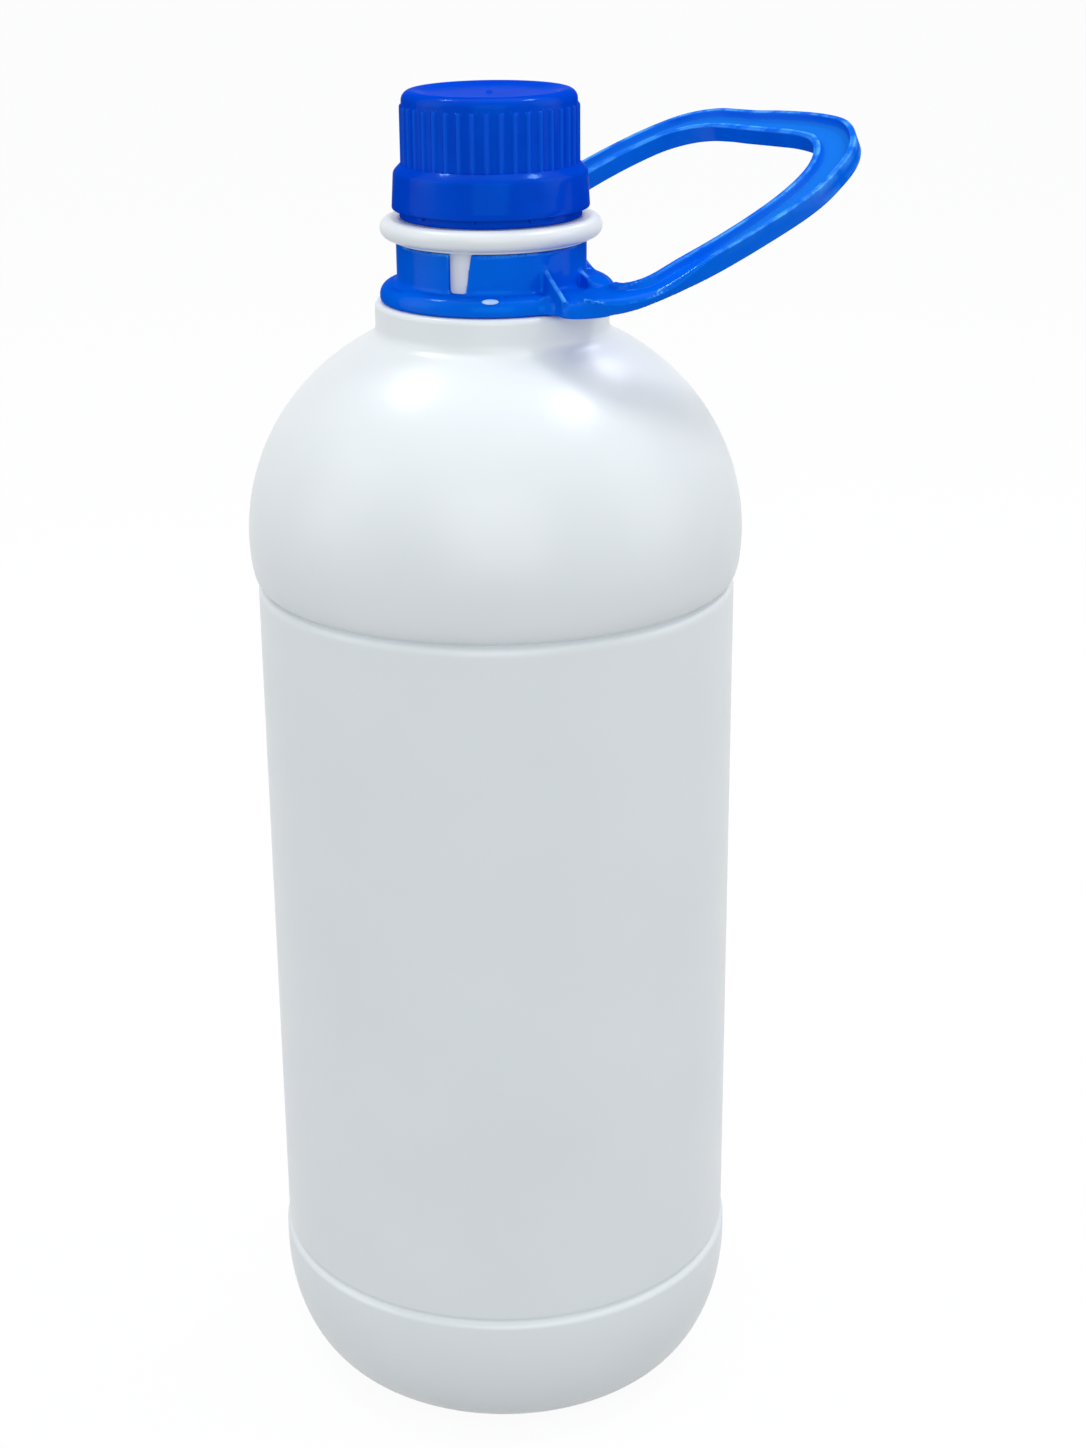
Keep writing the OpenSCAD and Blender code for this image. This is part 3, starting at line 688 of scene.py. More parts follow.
# the backs of the ribs are marked for a painted sheen, a lighter tone
rib_sheen_share = []
for v in cap.data.vertices:
    proud = math.hypot(v.co.x, v.co.y) / MM - cap_r
    on_shell = shoulder_z + 0.1 < v.co.z / MM < rib_top_z + 0.01
    rib_sheen_share.append(smooth(0.2, rib_proud, proud) if on_shell else 0)
mark_points(cap.data, "rib", rib_sheen_share)
cap.data.materials.append(moulded_pp)
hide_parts("cap")
print("cap", len(cap.data.polygons), "faces")


# %% [markdown]
# ## The tamper ring and the liner
#
# The ring that the cap left behind is a thin band, with the stubs of ten bridges on its upper
# edge that catch the light. The liner is a foam disc that only shows when the cap is off.

# %% Make the tamper ring
tamper_in_r = finish_r + 0.8
tamper_r = tamper_in_r + 2.6
bridge_count = 10
bridge_w = 0.9
bridge_reach = 0.6


def bridge_swell(radius, height, angle):
    """The stubs of the bridges, on the ring's outer upper edge."""
    step = 2 * math.pi / bridge_count
    off = abs(angle % step - step / 2) * tamper_r
    on_edge = radius > tamper_r - 0.05 and height > tamper_top_z - 0.75
    return bridge_reach * (1 - smooth(bridge_w / 2 - 0.1, bridge_w / 2 + 0.1, off)) if on_edge else 0


ring_outline = [(tamper_in_r, tamper_z), (tamper_r - 0.2, tamper_z), (tamper_r - 0.05, tamper_z + 0.06),
                (tamper_r, tamper_z + 0.2), (tamper_r, tamper_top_z - 0.8), (tamper_r, tamper_top_z - 0.7),
                (tamper_r, tamper_top_z), (tamper_in_r + 0.5, tamper_top_z),
                (tamper_in_r, tamper_top_z - 0.5)]
tamper_columns = 720
tamper = turned("tamper_band", ring_outline, tamper_columns, "bottle", bridge_swell)
crisp(tamper, 50)
tamper.data.materials.append(moulded_pp)
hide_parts("tamper_ring")
print("ring", len(tamper.data.polygons), "faces")

# %% Make the liner
liner_r = cap_bore_r - 0.3
liner_outline = [(0, liner_z), (liner_r - 0.2, liner_z), (liner_r, liner_z + 0.2),
                 (liner_r, liner_top_z - 0.2), (liner_r - 0.2, liner_top_z), (0, liner_top_z)]
liner = turned("foam_liner", liner_outline, 96, "liner")
crisp(liner, 40)
liner.data.materials.append(liner_foam)
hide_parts("cap_liner")
print("liner", len(liner.data.polygons), "faces")


# %% [markdown]
# ## The handle
#
# The handle is one moulding: a collar with two slots, a flange with ears, thin gussets, two round
# pads, and a tilted loop with rounded rims and a thin web. The loop is swept as a closed ring of
# sections whose outer and inner edges follow two outlines, because only a swept grid keeps the
# rims round and their highlights clean. The collar and all that stands on it are turned or
# extruded, and a fine voxel remesh melts them into one skin with soft fillets. The two halves are
# then stitched together across both strands of the loop.

# %% Sizes of the collar, the flange and the ears
collar_h = 13.4
running_gap = 0.08
collar_wall = 1.5
collar_bore_r = neck_r + running_gap
collar_r = collar_bore_r + collar_wall
flange_t = 4.3
flange_top_z = collar_z + flange_t
collar_top_z = collar_z + collar_h
flange_r = collar_r + 4.0
tongue_r = collar_r + 6.7
edge_in = 3.1
edge_down = 2.9
ear_half_w = 37.6
ear_t = 4.1
ear_foot_z = flange_top_z - ear_t
ear_x = 2.2
pad_x = 14.6
pad_v = 25.6
pad_r = 2.8
pad_h = 2.5
pad_lean = 0.28
print("collar", round(2 * collar_r, 2), "mm across, flange", round(2 * flange_r, 2))

# %% Sizes of the loop
loop_tilt = math.radians(24)
loop_len = 90
loop_half_w = 48.6
loop_wide_u = 50
bar_w = 9.2
grip_half_w = 39.9
grip_corner_u = 30
grip_corner_v = 24
root_len = 16.8
root_corner_r = 7
rim_h = 4.3
outer_rim_w = 1.6
inner_rim_w = 2.0
web_t = 1.55
bend_x = 8.6
bend_soft = 7.0
bend_u = bend_x / math.cos(loop_tilt)
bend_z = flange_top_z - bend_x * math.tan(loop_tilt)
recess_up = 1.9
recess_low = rim_h - web_t - recess_up
floor_u = root_len + 3.2
rim_end_v = tongue_r + 1.8
corner_power = 2.5
flare_power = 3
loop_centre_u = 46.0
seam_u = 33.0
print("loop", loop_len, "mm long and", 2 * loop_half_w, "wide, its bar", bar_w)

# %% [markdown]
# ### The set that the loop has taken
#
# A loop like this is pulled and packed, so its two edges wander off their drawn outlines. A bend
# modifier is too regular for that. Each list holds (angle round the loop's centre, millimetres
# outwards), and a smooth curve runs through it.

# %% How the loop's edges wander
outer_sway = [(-150, 0.5), (-130, 0.9), (-105, 0.5), (-85, 0.2), (-72, -0.2), (-60, -0.8), (-48, 0.1),
              (-36, 1.3), (-24, 2.2), (-12, 1.4), (0, 0.3), (9, -0.6), (21, -1.5), (30, -0.7),
              (39, 1.2), (50, 2.4), (60, 1.5), (70, 0.7), (85, 0.8), (110, 0.7), (145, 0.5)]
inner_sway = [(-150, -0.3), (-135, -0.6), (-118, -1.5), (-102, -0.6), (-90, -0.7), (-78, -1.5),
              (-66, -1.9), (-50, -1.8), (-41, -1.5), (-33, -0.9), (-24, 0.1), (-14, 0.2), (-4, -0.4),
              (8, -1.2), (20, -2.1), (30, -2.6), (38, -1.7), (47, -0.3), (57, 0.5), (66, -0.1),
              (76, -0.6), (100, -0.6), (145, -0.3)]
print("outer edge wanders by", max(abs(mm) for angle, mm in outer_sway), "mm at most")

# %% [markdown]
# ### A tilted plane and a soft bend
#
# The loop is drawn flat and then tilted 24 degrees. Where it leaves the flange, the mould gives
# it a gentle curve, which a last bend of all the points adds.

# %% The loop's tilted plane


def plane_point(u, v, depth):
    """A point of the loop's tilted plane, in the row frame, below its top face by a depth."""
    x = u * math.cos(loop_tilt) + depth * math.sin(loop_tilt)
    z = bend_z + u * math.sin(loop_tilt) - depth * math.cos(loop_tilt)
    return (x, v, max(z, ear_foot_z))


def along_loop(x, z):
    """How far along the loop's tilted plane a point of the row frame lies."""
    return x * math.cos(loop_tilt) + (z - bend_z) * math.sin(loop_tilt)


def soft_bend(x, y, z):
    """The height of a point once the flat flange curves gently up into the tilted loop."""
    slope = math.tan(loop_tilt)
    top_z = flange_top_z + max(0, x - bend_x) * slope
    down = min(1, max(0, (top_z - z) / rim_h))
    past = x - bend_x - down * rim_h * math.sin(loop_tilt)
    if abs(past) >= bend_soft:
        return z
    lift = slope * ((past + bend_soft) ** 2 / (4 * bend_soft) - max(0, past))
    return z + lift * smooth(24, 30, math.hypot(x, y))


print("the loop's far end is", round(plane_point(loop_len, 0, 0)[2], 1), "mm above the floor")

# %% [markdown]
# ### Outlines of the loop
#
# The outer edge is a squarish oval that flares out of the ears, and the opening is an oval with
# round corners at its root. Both are cut by the same rays from the loop's centre, so that a
# section of the loop can be placed between them at every angle.

# %% A smooth curve through a list of places


def sway(table, angle):
    """How far an edge sways outwards at an angle in radians, on a smooth curve through a table."""
    at = (math.degrees(angle) - table[0][0]) % 360 + table[0][0]
    count = len(table)
    laps = [(table[i % count][0] + 360 * (i // count), table[i % count][1]) for i in range(-1, count + 2)]
    for (a, p), (b, q), (c, r), (d, s) in zip(laps, laps[1:], laps[2:], laps[3:]):
        if b <= at <= c:
            t = (at - b) / (c - b)
            rise, fall = (r - p) / (c - a) * (c - b), (s - q) / (d - b) * (c - b)
            return (q * (1 + 2 * t) * (1 - t) ** 2 + rise * t * (1 - t) ** 2
                    + r * t * t * (3 - 2 * t) - fall * t * t * (1 - t))


print("at 24 degrees the outer edge sways", round(sway(outer_sway, math.radians(24)), 2), "mm")

# %% Outlines of the loop


def flare_v(u):
    """Half width of the loop at u, between the ears and its widest place."""
    share = (loop_wide_u - u) / (loop_wide_u - bend_u)
    return loop_half_w - (loop_half_w - ear_half_w) * share ** flare_power


def outer_edge(inset):
    """Half of the loop's outline, from its far end to its root, brought in by inset."""
    reach = loop_len - loop_wide_u - inset
    half = loop_half_w - inset
    points = []
    for i in range(81):
        a = math.radians(90 * i / 80)
        points.append((loop_wide_u + reach * math.cos(a) ** (2 / corner_power),
                       half * math.sin(a) ** (2 / corner_power)))
    for i in range(1, 41):
        u = loop_wide_u + (bend_u - loop_wide_u) * i / 40
        points.append((u, flare_v(u) - inset))
    return points + [(bend_u, 0)]


def inner_edge(outset):
    """Half of the opening's outline, from its far end to its root, grown by outset."""
    far_u = loop_len - bar_w + outset
    half = grip_half_w + outset
    near_u = root_len - outset
    cu = grip_corner_u + outset
    cv = grip_corner_v + outset
    rr = root_corner_r + outset
    return ([(far_u, 0)] + oval((far_u - cu, half - cv), cu, cv, 0, 90, 60)
            + oval((near_u + rr, half - rr), rr, rr, 90, 180, 16) + [(near_u, 0)])


print("outer edge", len(outer_edge(0)), "points, inner edge", len(inner_edge(0)))

# %% Where a ray from the loop's centre meets an edge


def reach_to(edge, angle):
    """Distance from the loop's centre to an edge, along a ray at an angle."""
    du, dv = math.cos(angle), math.sin(angle)
    for (u0, v0), (u1, v1) in zip(edge, edge[1:]):
        side0 = (u0 - loop_centre_u) * dv - v0 * du
        side1 = (u1 - loop_centre_u) * dv - v1 * du
        if side0 * side1 <= 0 and side0 != side1:
            t = side0 / (side0 - side1)
            u, v = u0 + (u1 - u0) * t, v0 + (v1 - v0) * t
            if (u - loop_centre_u) * du + v * dv > 0:
                return math.hypot(u - loop_centre_u, v)
    raise ValueError(f"the ray at {math.degrees(angle):.1f} degrees misses its edge")


print("the bar is", round(reach_to(outer_edge(0), 0) - reach_to(inner_edge(0), 0), 2), "mm wide")

# %% [markdown]
# ### Section of the loop
#
# Across the strand the section is a channel: a thin web between two rims. Each rim is a row of
# points from its wall, over a rounded corner and a flat crest, down to the web. Towards the root
# the channel grows shallow and the outer corner grows rounder.

# %% One rim, from its wall over its crest to the web
crest_fade_u = (18, 36)


def rim_profile(width, round_in, round_down):
    """Points of (offset from the edge, depth below the crest, share of the fall to the web)."""
    points = [(0, rim_h / 2 - 0.05, 0)]
    for i in range(9):
        a = math.radians(90 * i / 8)
        points.append((round_in * (1 - math.cos(a)), round_down * (1 - math.sin(a)), 0))
    low = max(width - 0.4, round_in + 0.1)
    for i in range(11):
        t = i / 10
        points.append((low + 0.8 * t, 0, smooth(0, 1, t)))
    return points


def rim_row(start, step, profile, inner, upper, recess, fold, side):
    """A rim's points at one angle, each with its share of web."""
    row = []
    low_u = bend_u if upper else floor_u - 3
    for offset, corner, fall in profile:
        reach = start + step * offset
        u, v = loop_centre_u + reach * math.cos(fold), reach * math.sin(fold)
        if inner:
            stands = max(smooth(rim_end_v - 1, rim_end_v + 1, v), smooth(floor_u - 2, floor_u + 2, u))
        else:
            stands = smooth(*crest_fade_u, u) if upper else 1
        floor = recess * min(1, max(0, (u - low_u) / (floor_u - low_u)))
        depth = corner * (stands if inner else 1) + (1 - (1 - fall) * stands) * floor
        point = plane_point(u, side * v, depth if upper else rim_h - depth)
        row.append((point, fall * smooth(seam_u, seam_u + 12, u)))
    return row


# %% [markdown]
# ### Sweep the section round the loop
#
# A curve with a bevel profile would sweep one section, but here the width between the edges
# changes all the way round. So the rings of points are placed one by one and joined.

# %% The swept loop


def sweep_loop(stations=330):
    """The loop as a closed ring of sections with both its faces, and the share of web at each point."""
    edges = [outer_edge(0), outer_edge(outer_rim_w), inner_edge(0), inner_edge(inner_rim_w)]
    points, web, rings = [], [], []
    for k in range(stations):
        angle = 2 * math.pi * k / stations
        fold = min(angle, 2 * math.pi - angle)
        side = 1 if angle <= math.pi else -1
        out0, out1, in0, in1 = [reach_to(edge, fold) for edge in edges]
        swing_out, swing_in = sway(outer_sway, angle), sway(inner_sway, angle)
        at_root = 1 - smooth(12, 36, loop_centre_u + out0 * math.cos(fold))
        rows = []
        for upper in (True, False):
            outer_round = (0.45 + 3.4 * at_root, 0.45 + 1.6 * at_root) if upper else (0.4, 0.4)
            inner_round, recess = (0.6, recess_up) if upper else (0.4, recess_low)
            rows.append(rim_row(out0 + swing_out, (out1 - out0) / outer_rim_w,
                                rim_profile(outer_rim_w, *outer_round), False, upper, recess, fold, side))
            rows.append(rim_row(in0 + swing_in, (in1 - in0) / inner_rim_w,
                                rim_profile(inner_rim_w, inner_round, inner_round),
                                True, upper, recess, fold, side))
        top_out, top_in, low_out, low_in = rows
        ring = top_out + top_in[::-1] + low_in + low_out[::-1]
        rings.append(range(len(points), len(points) + len(ring)))
        points += [p for p, share in ring]
        web += [share for p, share in ring]
    faces = []
    for low, high in zip(rings, rings[1:] + rings[:1]):
        for i in range(len(low)):
            j = (i + 1) % len(low)
            faces.append([low[i], high[i], high[j], low[j]])
    return points, faces, web


print("a rim's profile has", len(rim_profile(outer_rim_w, 0.45, 0.45)), "points")

# %% [markdown]
# ### Plates with rounded edges
#
# The ears are a flat plate with a softly rounded upper edge. A bevel modifier rounds edges too,
# but not to an oval, so the plate is raised in levels that step inwards along a quarter oval.
# The plate isn't cut by the collar's bore, so it also crosses the hollow of the neck, where
# nothing outside shows it. A real handle is open there: the ears still want such a cut.

# %% A plate with a rounded edge


def extruded(name, outline, low, high, edge=None, steps=8):
    """A closed outline, drawn anticlockwise, raised from low to high. Its upper edge may be rounded
    by an oval of (width inwards, height)."""
    count = len(outline)
    normals = []
    for i in range(count):
        along = (Vector(outline[(i + 1) % count]) - Vector(outline[i - 1])).normalized()
        normals.append((along.y, -along.x))
    levels = [(0, low), (0, high)]
    if edge:
        inward, down = edge
        angles = [math.radians(90 * k / steps) for k in range(steps + 1)]
        levels[1:] = [(inward * (1 - math.cos(a)), high - down * (1 - math.sin(a))) for a in angles]
    points = []
    for inset, z in levels:
        points += [(p[0] - n[0] * inset, p[1] - n[1] * inset, z) for p, n in zip(outline, normals)]
    top = (len(levels) - 1) * count
    faces = [list(reversed(range(count))), list(range(top, top + count))]
    for level in range(len(levels) - 1):
        for i in range(count):
            j = (i + 1) % count
            low_row, high_row = level * count, (level + 1) * count
            faces.append([low_row + i, low_row + j, high_row + j, high_row + i])
    return make_object(name, points, faces)


# %% The ears


def ear_outline():
    """The flat plate that widens the flange to meet the loop."""
    corner_r = 5
    fillet_r = 4
    lower_bend_x = bend_x + rim_h * math.sin(loop_tilt)
    slope = flare_power * (loop_half_w - ear_half_w) / (loop_wide_u - bend_u) * math.cos(loop_tilt)
    lean = math.atan(slope)
    end_v = ear_half_w + slope * (lower_bend_x - bend_x)
    corner_x = ear_x + corner_r
    corner_v = (ear_half_w - slope * (bend_x - corner_x + corner_r * math.sin(lean))
                - corner_r * math.cos(lean))
    fillet_x = ear_x - fillet_r
    fillet_v = math.sqrt((flange_r + fillet_r) ** 2 - fillet_x ** 2)
    fillet_a = math.degrees(math.atan2(-fillet_v, -fillet_x))
    side = oval((fillet_x, fillet_v), fillet_r, fillet_r, fillet_a, 0, 12)
    side += oval((corner_x, corner_v), corner_r, corner_r, 180, 90 + math.degrees(lean), 18)
    side += [(lower_bend_x, end_v)]
    return [(x, -v) for x, v in side] + side[::-1]


print("ears", len(ear_outline()), "points")

# %% [markdown]
# ### Gussets and pads
#
# Thin triangular gussets brace the collar, one in the middle and two a side, all running straight
# across the loop so that the mould can open. A round pad stands at the foot of each middle one.

# %% Gussets and pads
gusset_t = 1.1


def gusset(angle, beside, reach, rise, foot_z):
    """A thin triangular rib from the collar's wall out along the flange, beside an upright plane."""
    root_r = math.sqrt((collar_bore_r + 0.75) ** 2 - beside ** 2)
    wall_r = math.sqrt(collar_r ** 2 - beside ** 2)
    under_z = min(foot_z, flange_top_z) - 1.2
    outline = [(root_r, under_z), (root_r, flange_top_z + rise), (wall_r, flange_top_z + rise),
               (reach, foot_z), (reach - 0.5, under_z)]
    points = [(r, side - beside, z) for side in (-gusset_t / 2, gusset_t / 2) for r, z in outline]
    n = len(outline)
    faces = [list(range(n)), list(reversed(range(n, 2 * n)))]
    faces += [[i + n, (i + 1) % n + n, (i + 1) % n, i] for i in range(n)]
    obj = make_object("gusset", points, faces)
    obj.data.transform(Matrix.Rotation(math.radians(angle), 4, "Z"))
    return obj


def pad(side):
    """A raised round pad at the foot of a middle gusset, its top leaning outwards."""
    top_z = flange_top_z + pad_h
    outline = [(0, collar_z + 1), (pad_r, collar_z + 1), (pad_r, top_z - 0.4), (pad_r - 0.15, top_z - 0.1),
               (pad_r - 0.5, top_z), (0, top_z)]
    obj = turned("pad", outline, 48)
    for v in obj.data.vertices:
        if v.co.z > (top_z - 1) * MM:
            v.co.z -= pad_lean * v.co.y * side
    obj.data.transform(Matrix.Translation((pad_x * MM, pad_v * side * MM, 0)))
    return obj


print("gussets", gusset_t, "mm thick, pads", 2 * pad_r, "mm across")

# %% [markdown]
# ### Collar and tongue
#
# The collar and its flange are turned like the bottle. The tongue is a second, wider flange that
# is kept only on the loop's side, where it carries the middle gusset out to the opening.

# %% The collar and its tongue


def flange_outline(radius):
    """From the bore along the underside and round a flange's edge to its top."""
    underside = [(collar_bore_r, collar_z), (radius - 0.5, collar_z), (radius, collar_z + 0.5)]
    return underside + oval((radius - edge_in, flange_top_z - edge_down), edge_in, edge_down, 0, 90, 12)


collar_outline = flange_outline(flange_r)
collar_outline += oval((collar_r + 0.8, flange_top_z + 0.8), 0.8, 0.8, -90, -180, 6)
collar_outline += [(collar_r, collar_top_z - 0.3), (collar_r - 0.3, collar_top_z),
                   (collar_bore_r + 0.3, collar_top_z), (collar_bore_r, collar_top_z - 0.3)]
collar_columns = 256
collar = turned("collar", collar_outline, collar_columns)
tongue_outline = flange_outline(tongue_r) + [(collar_bore_r, flange_top_z)]
tongue = turned("tongue", tongue_outline, collar_columns)
print("collar", len(collar.data.polygons), "tongue", len(tongue.data.polygons), "faces")

# %% [markdown]
# ### Cutting
#
# A boolean modifier is a cut that can still be changed. Here each cut is final, so it is baked
# into the mesh at once and its cutter is removed.

# %% Cutting helpers


def cut(obj, cutter, operation="DIFFERENCE"):
    """Cuts one object with another and removes the cutter."""
    step = obj.modifiers.new("cut", "BOOLEAN")
    step.operation = operation
    step.solver = "EXACT"
    step.object = cutter
    bake(obj)
    bpy.data.objects.remove(cutter)


def bake(obj):
    """Applies an object's modifiers to its mesh."""
    bpy.context.view_layer.update()
    solid = obj.evaluated_get(bpy.context.evaluated_depsgraph_get())
    obj.data = bpy.data.meshes.new_from_object(solid)
    obj.modifiers.clear()


def block(low, high):
    """A plain block, used only as a cutter."""
    outline = [(low[0], low[1]), (high[0], low[1]), (high[0], high[1]), (low[0], high[1])]
    return extruded("cutter", outline, low[2], high[2])


# %% [markdown]
# ### Slots and pocket
#
# Two tapered slots let the collar spring open over the transfer ring, and a small pocket at the
# back of the flange takes the sink out of its thick part.

# %% Cut the slots and the pocket
slot_top_w = 5.4
slot_foot_w = 3.9
slot_angle = 134


def slot_cutter(side):
    """A tapered slot that lets the collar spring over the transfer ring."""
    low_z, high_z = flange_top_z + 0.3, collar_top_z + 1
    shape = [(slot_top_w / 2, low_z), (slot_top_w / 2, high_z), (-slot_top_w / 2, high_z),
             (slot_top_w / 2 - slot_foot_w, low_z)]
    points = [(r, y, z) for r in (neck_r - 2, collar_r + 3) for y, z in shape]
    faces = [[3, 2, 1, 0], [4, 5, 6, 7]] + [[i, (i + 1) % 4, (i + 1) % 4 + 4, i + 4] for i in range(4)]
    obj = make_object("cutter", points, faces)
    obj.data.transform(Matrix.Rotation(math.radians(slot_angle), 4, "Z"))
    if side < 0:
        obj.data.transform(Matrix.Scale(-1, 4, (0, 1, 0)))
        obj.data.flip_normals()
    return obj


for side in (1, -1):
    cut(collar, slot_cutter(side))
pocket_half_w, pocket_d = 3.7, 0.6
cut(collar, block((-flange_r + 0.8, -pocket_half_w, flange_top_z - pocket_d),
                  (-flange_r + 3.7, pocket_half_w, flange_top_z + 1.4)))
tongue_back_x = bend_x - 2.4
cut(tongue, block((tongue_back_x, -40, collar_z - 5), (40, 40, collar_z + 20)), "INTERSECT")
print("collar with its slots", len(collar.data.polygons), "faces")

# %% [markdown]
# ### The roots of the loop
#
# The loop keeps its clean swept grid, except at its roots, where it has to flow into the ears. So
# a capped copy of the roots is cut off and goes into the melt.

# %% Sweep the loop, and keep a capped piece of its roots for the melt
loop_points, loop_faces, loop_web = sweep_loop()
seam_normal = Vector((math.cos(loop_tilt), 0, math.sin(loop_tilt)))


def cut_at(bm, u, keep_root):
    """Cuts a mesh across the loop at u, and keeps its root side or its far side."""
    place = Vector(plane_point(u, 0, 0)) * MM
    geometry = bm.verts[:] + bm.edges[:] + bm.faces[:]
    bmesh.ops.bisect_plane(bm, geom=geometry, plane_co=place, plane_no=seam_normal,
                           clear_outer=keep_root, clear_inner=not keep_root)


loop_root = make_object("loop_root", loop_points, loop_faces)
bm = bmesh.new()
bm.from_mesh(loop_root.data)
cut_at(bm, seam_u + 3, True)
bmesh.ops.holes_fill(bm, edges=[e for e in bm.edges if e.is_boundary], sides=0)
bmesh.ops.recalc_face_normals(bm, faces=bm.faces[:])
bm.to_mesh(loop_root.data)
bm.free()
clear_r = tongue_r - 0.5
cut(loop_root, turned("cutter", [(0, 200), (clear_r, 200), (clear_r, 400), (0, 400)], 128))
print("loop", len(loop_faces), "faces, its roots", len(loop_root.data.polygons))

# %% [markdown]
# ### Melt
#
# A voxel remesh turns overlapping closed pieces into one skin, and a little smoothing leaves
# fillets where they met, as flowing plastic does. At 0.38 mm a voxel the gussets stay thin.

# %% Melt the collar, the ears and the roots into one skin
melt_voxel = 0.38
side_gusset_x, side_gusset_v, side_rise = 2.9, 32, 5.6
middle_rise = 3.6
ears = extruded("ears", ear_outline(), ear_foot_z, flange_top_z, (4.2, 3.0))
parts = [collar, tongue, loop_root, ears, gusset(0, 0, tongue_r + 0.2, side_rise, flange_top_z - edge_down)]
for side in (1, -1):
    parts += [gusset(90 * side, side_gusset_x * side, side_gusset_v, side_rise, flange_top_z - 0.3),
              pad(side), gusset(90 * side, pad_x * side, pad_v, middle_rise, flange_top_z + 0.8)]
heap = bmesh.new()
for part in parts:
    heap.from_mesh(part.data)
    bpy.data.objects.remove(part)
handle_mesh = bpy.data.meshes.new("carry_handle")
heap.to_mesh(handle_mesh)
heap.free()
handle = bpy.data.objects.new("carry_handle", handle_mesh)
bpy.context.collection.objects.link(handle)
melt = handle.modifiers.new("melt", "REMESH")
melt.mode = "VOXEL"
melt.voxel_size = melt_voxel * MM
bake(handle)
for v in handle.data.vertices:
    x, y, z = v.co / MM
    v.co.z = soft_bend(x, y, z) * MM
soften = handle.modifiers.new("soften", "SMOOTH")
soften.factor = 0.5
soften.iterations = 4
bake(handle)
print("collar, ears and roots", len(handle.data.polygons), "faces")

# %% [markdown]
# ### Bring the two halves together
#
# Just before the seam, the melted skin is drawn onto the swept surface, so that the two meet
# without a step. Then each half is cut on its own side of the seam.

# %% Draw the roots onto the loop and cut both at the seam
loop_mesh = bpy.data.meshes.new("loop")
bent_points = [(x * MM, y * MM, soft_bend(x, y, z) * MM) for x, y, z in loop_points]
loop_mesh.from_pydata(bent_points, [], loop_faces)
mark_points(loop_mesh, "web", loop_web)
whole = bmesh.new()
whole.from_mesh(loop_mesh)
surface = BVHTree.FromBMesh(whole)
cut_at(whole, seam_u + 0.5, False)

draw_from, draw_to, draw_reach = seam_u - 7, seam_u - 2, 0.8
root = bmesh.new()
root.from_mesh(handle.data)
for v in root.verts:
    u = along_loop(v.co.x / MM, v.co.z / MM)
    if u > draw_from:
        near = surface.find_nearest(v.co, draw_reach * MM)[0]
        if near:
            v.co = v.co.lerp(near, smooth(draw_from, draw_to, u))
cut_at(root, seam_u, True)
root.to_mesh(handle.data)
root.free()
whole.from_mesh(handle.data)
print("roots and loop", len(whole.faces), "faces, still apart")

# %% [markdown]
# ### Stitch
#
# Each strand now ends in two open rings of edges with different numbers of points. Bridging in
# Blender wants them alike, so a zip of triangles walks along both rings and keeps step by length.

# %% Find the open rings


def open_rings(bm):
    """The open edges of a mesh, as ordered rings of vertices."""
    after = {}
    for edge in bm.edges:
        if edge.is_boundary:
            for v in edge.verts:
                after.setdefault(v, []).append(edge.other_vert(v))
    rings = []
    while after:
        ring = [next(iter(after))]
        while True:
            ways = [v for v in after.pop(ring[-1]) if v in after]
            if not ways:
                break
            ring.append(ways[0])
        rings.append(ring)
    return rings


def turn_sense(ring):
    """Positive for a ring that runs anticlockwise, seen along the loop."""
    pairs = zip(ring, ring[1:] + ring[:1])
    return sum((a.co.cross(b.co)).dot(seam_normal) for a, b in pairs)


rings = open_rings(whole)
print("open rings", [len(r) for r in rings])

# %% Zip two rings together


def stitch(bm, ring_a, ring_b):
    """Fills the gap between two rings with triangles, keeping step along both."""
    if turn_sense(ring_a) * turn_sense(ring_b) < 0:
        ring_b = ring_b[::-1]
    start = min(range(len(ring_b)), key=lambda i: (ring_b[i].co - ring_a[0].co).length)
    ring_b = ring_b[start:] + ring_b[:start]
    lengths = []
    for ring in (ring_a, ring_b):
        steps = [(b.co - a.co).length for a, b in zip(ring, ring[1:] + ring[:1])]
        lengths.append([sum(steps[:i + 1]) / sum(steps) for i in range(len(steps))])
    i = j = 0
    while i < len(ring_a) or j < len(ring_b):
        a, b = ring_a[i % len(ring_a)], ring_b[j % len(ring_b)]
        if j == len(ring_b) or (i < len(ring_a) and lengths[0][i] <= lengths[1][j]):
            i += 1
            bm.faces.new((a, b, ring_a[i % len(ring_a)]))
        else:
            j += 1
            bm.faces.new((a, b, ring_b[j % len(ring_b)]))


for side in (1, -1):
    pair = [r for r in rings if r[0].co.y * side > 0]
    stitch(whole, *pair)
bmesh.ops.recalc_face_normals(whole, faces=whole.faces[:])
open_left = sum(e.is_boundary for e in whole.edges)
whole.to_mesh(handle.data)
whole.free()
handle.data.shade_smooth()
print("open edges", open_left)

# %% [markdown]
# ### Mark the edges for a painted highlight
#
# A painted highlight goes on edges that bend outwards and look up. The bend along every edge of
# the mesh is measured in 1/mm, and the sharpest one at each point becomes the attribute that the
# finish uses.

# %% Mark the edges for a painted highlight and finish the handle


def edge_highlight_share(mesh, soft, sharp):
    """How far the sharpest outward bend at each upward point, in 1/mm, lies from soft to sharp."""
    bend = [0] * len(mesh.vertices)
    normals = [n.vector for n in mesh.vertex_normals]
    for link in mesh.edges:
        i, j = link.vertices
        along = (mesh.vertices[j].co - mesh.vertices[i].co) / MM
        if along.length > 0.05:
            turn = (normals[j] - normals[i]).dot(along) / along.length_squared
            bend[i], bend[j] = max(bend[i], turn), max(bend[j], turn)
    return [smooth(soft, sharp, turn) * smooth(-0.1, 0.4, n.z) for turn, n in zip(bend, normals)]


soft_turn, sharp_turn = 0.9, 2.4
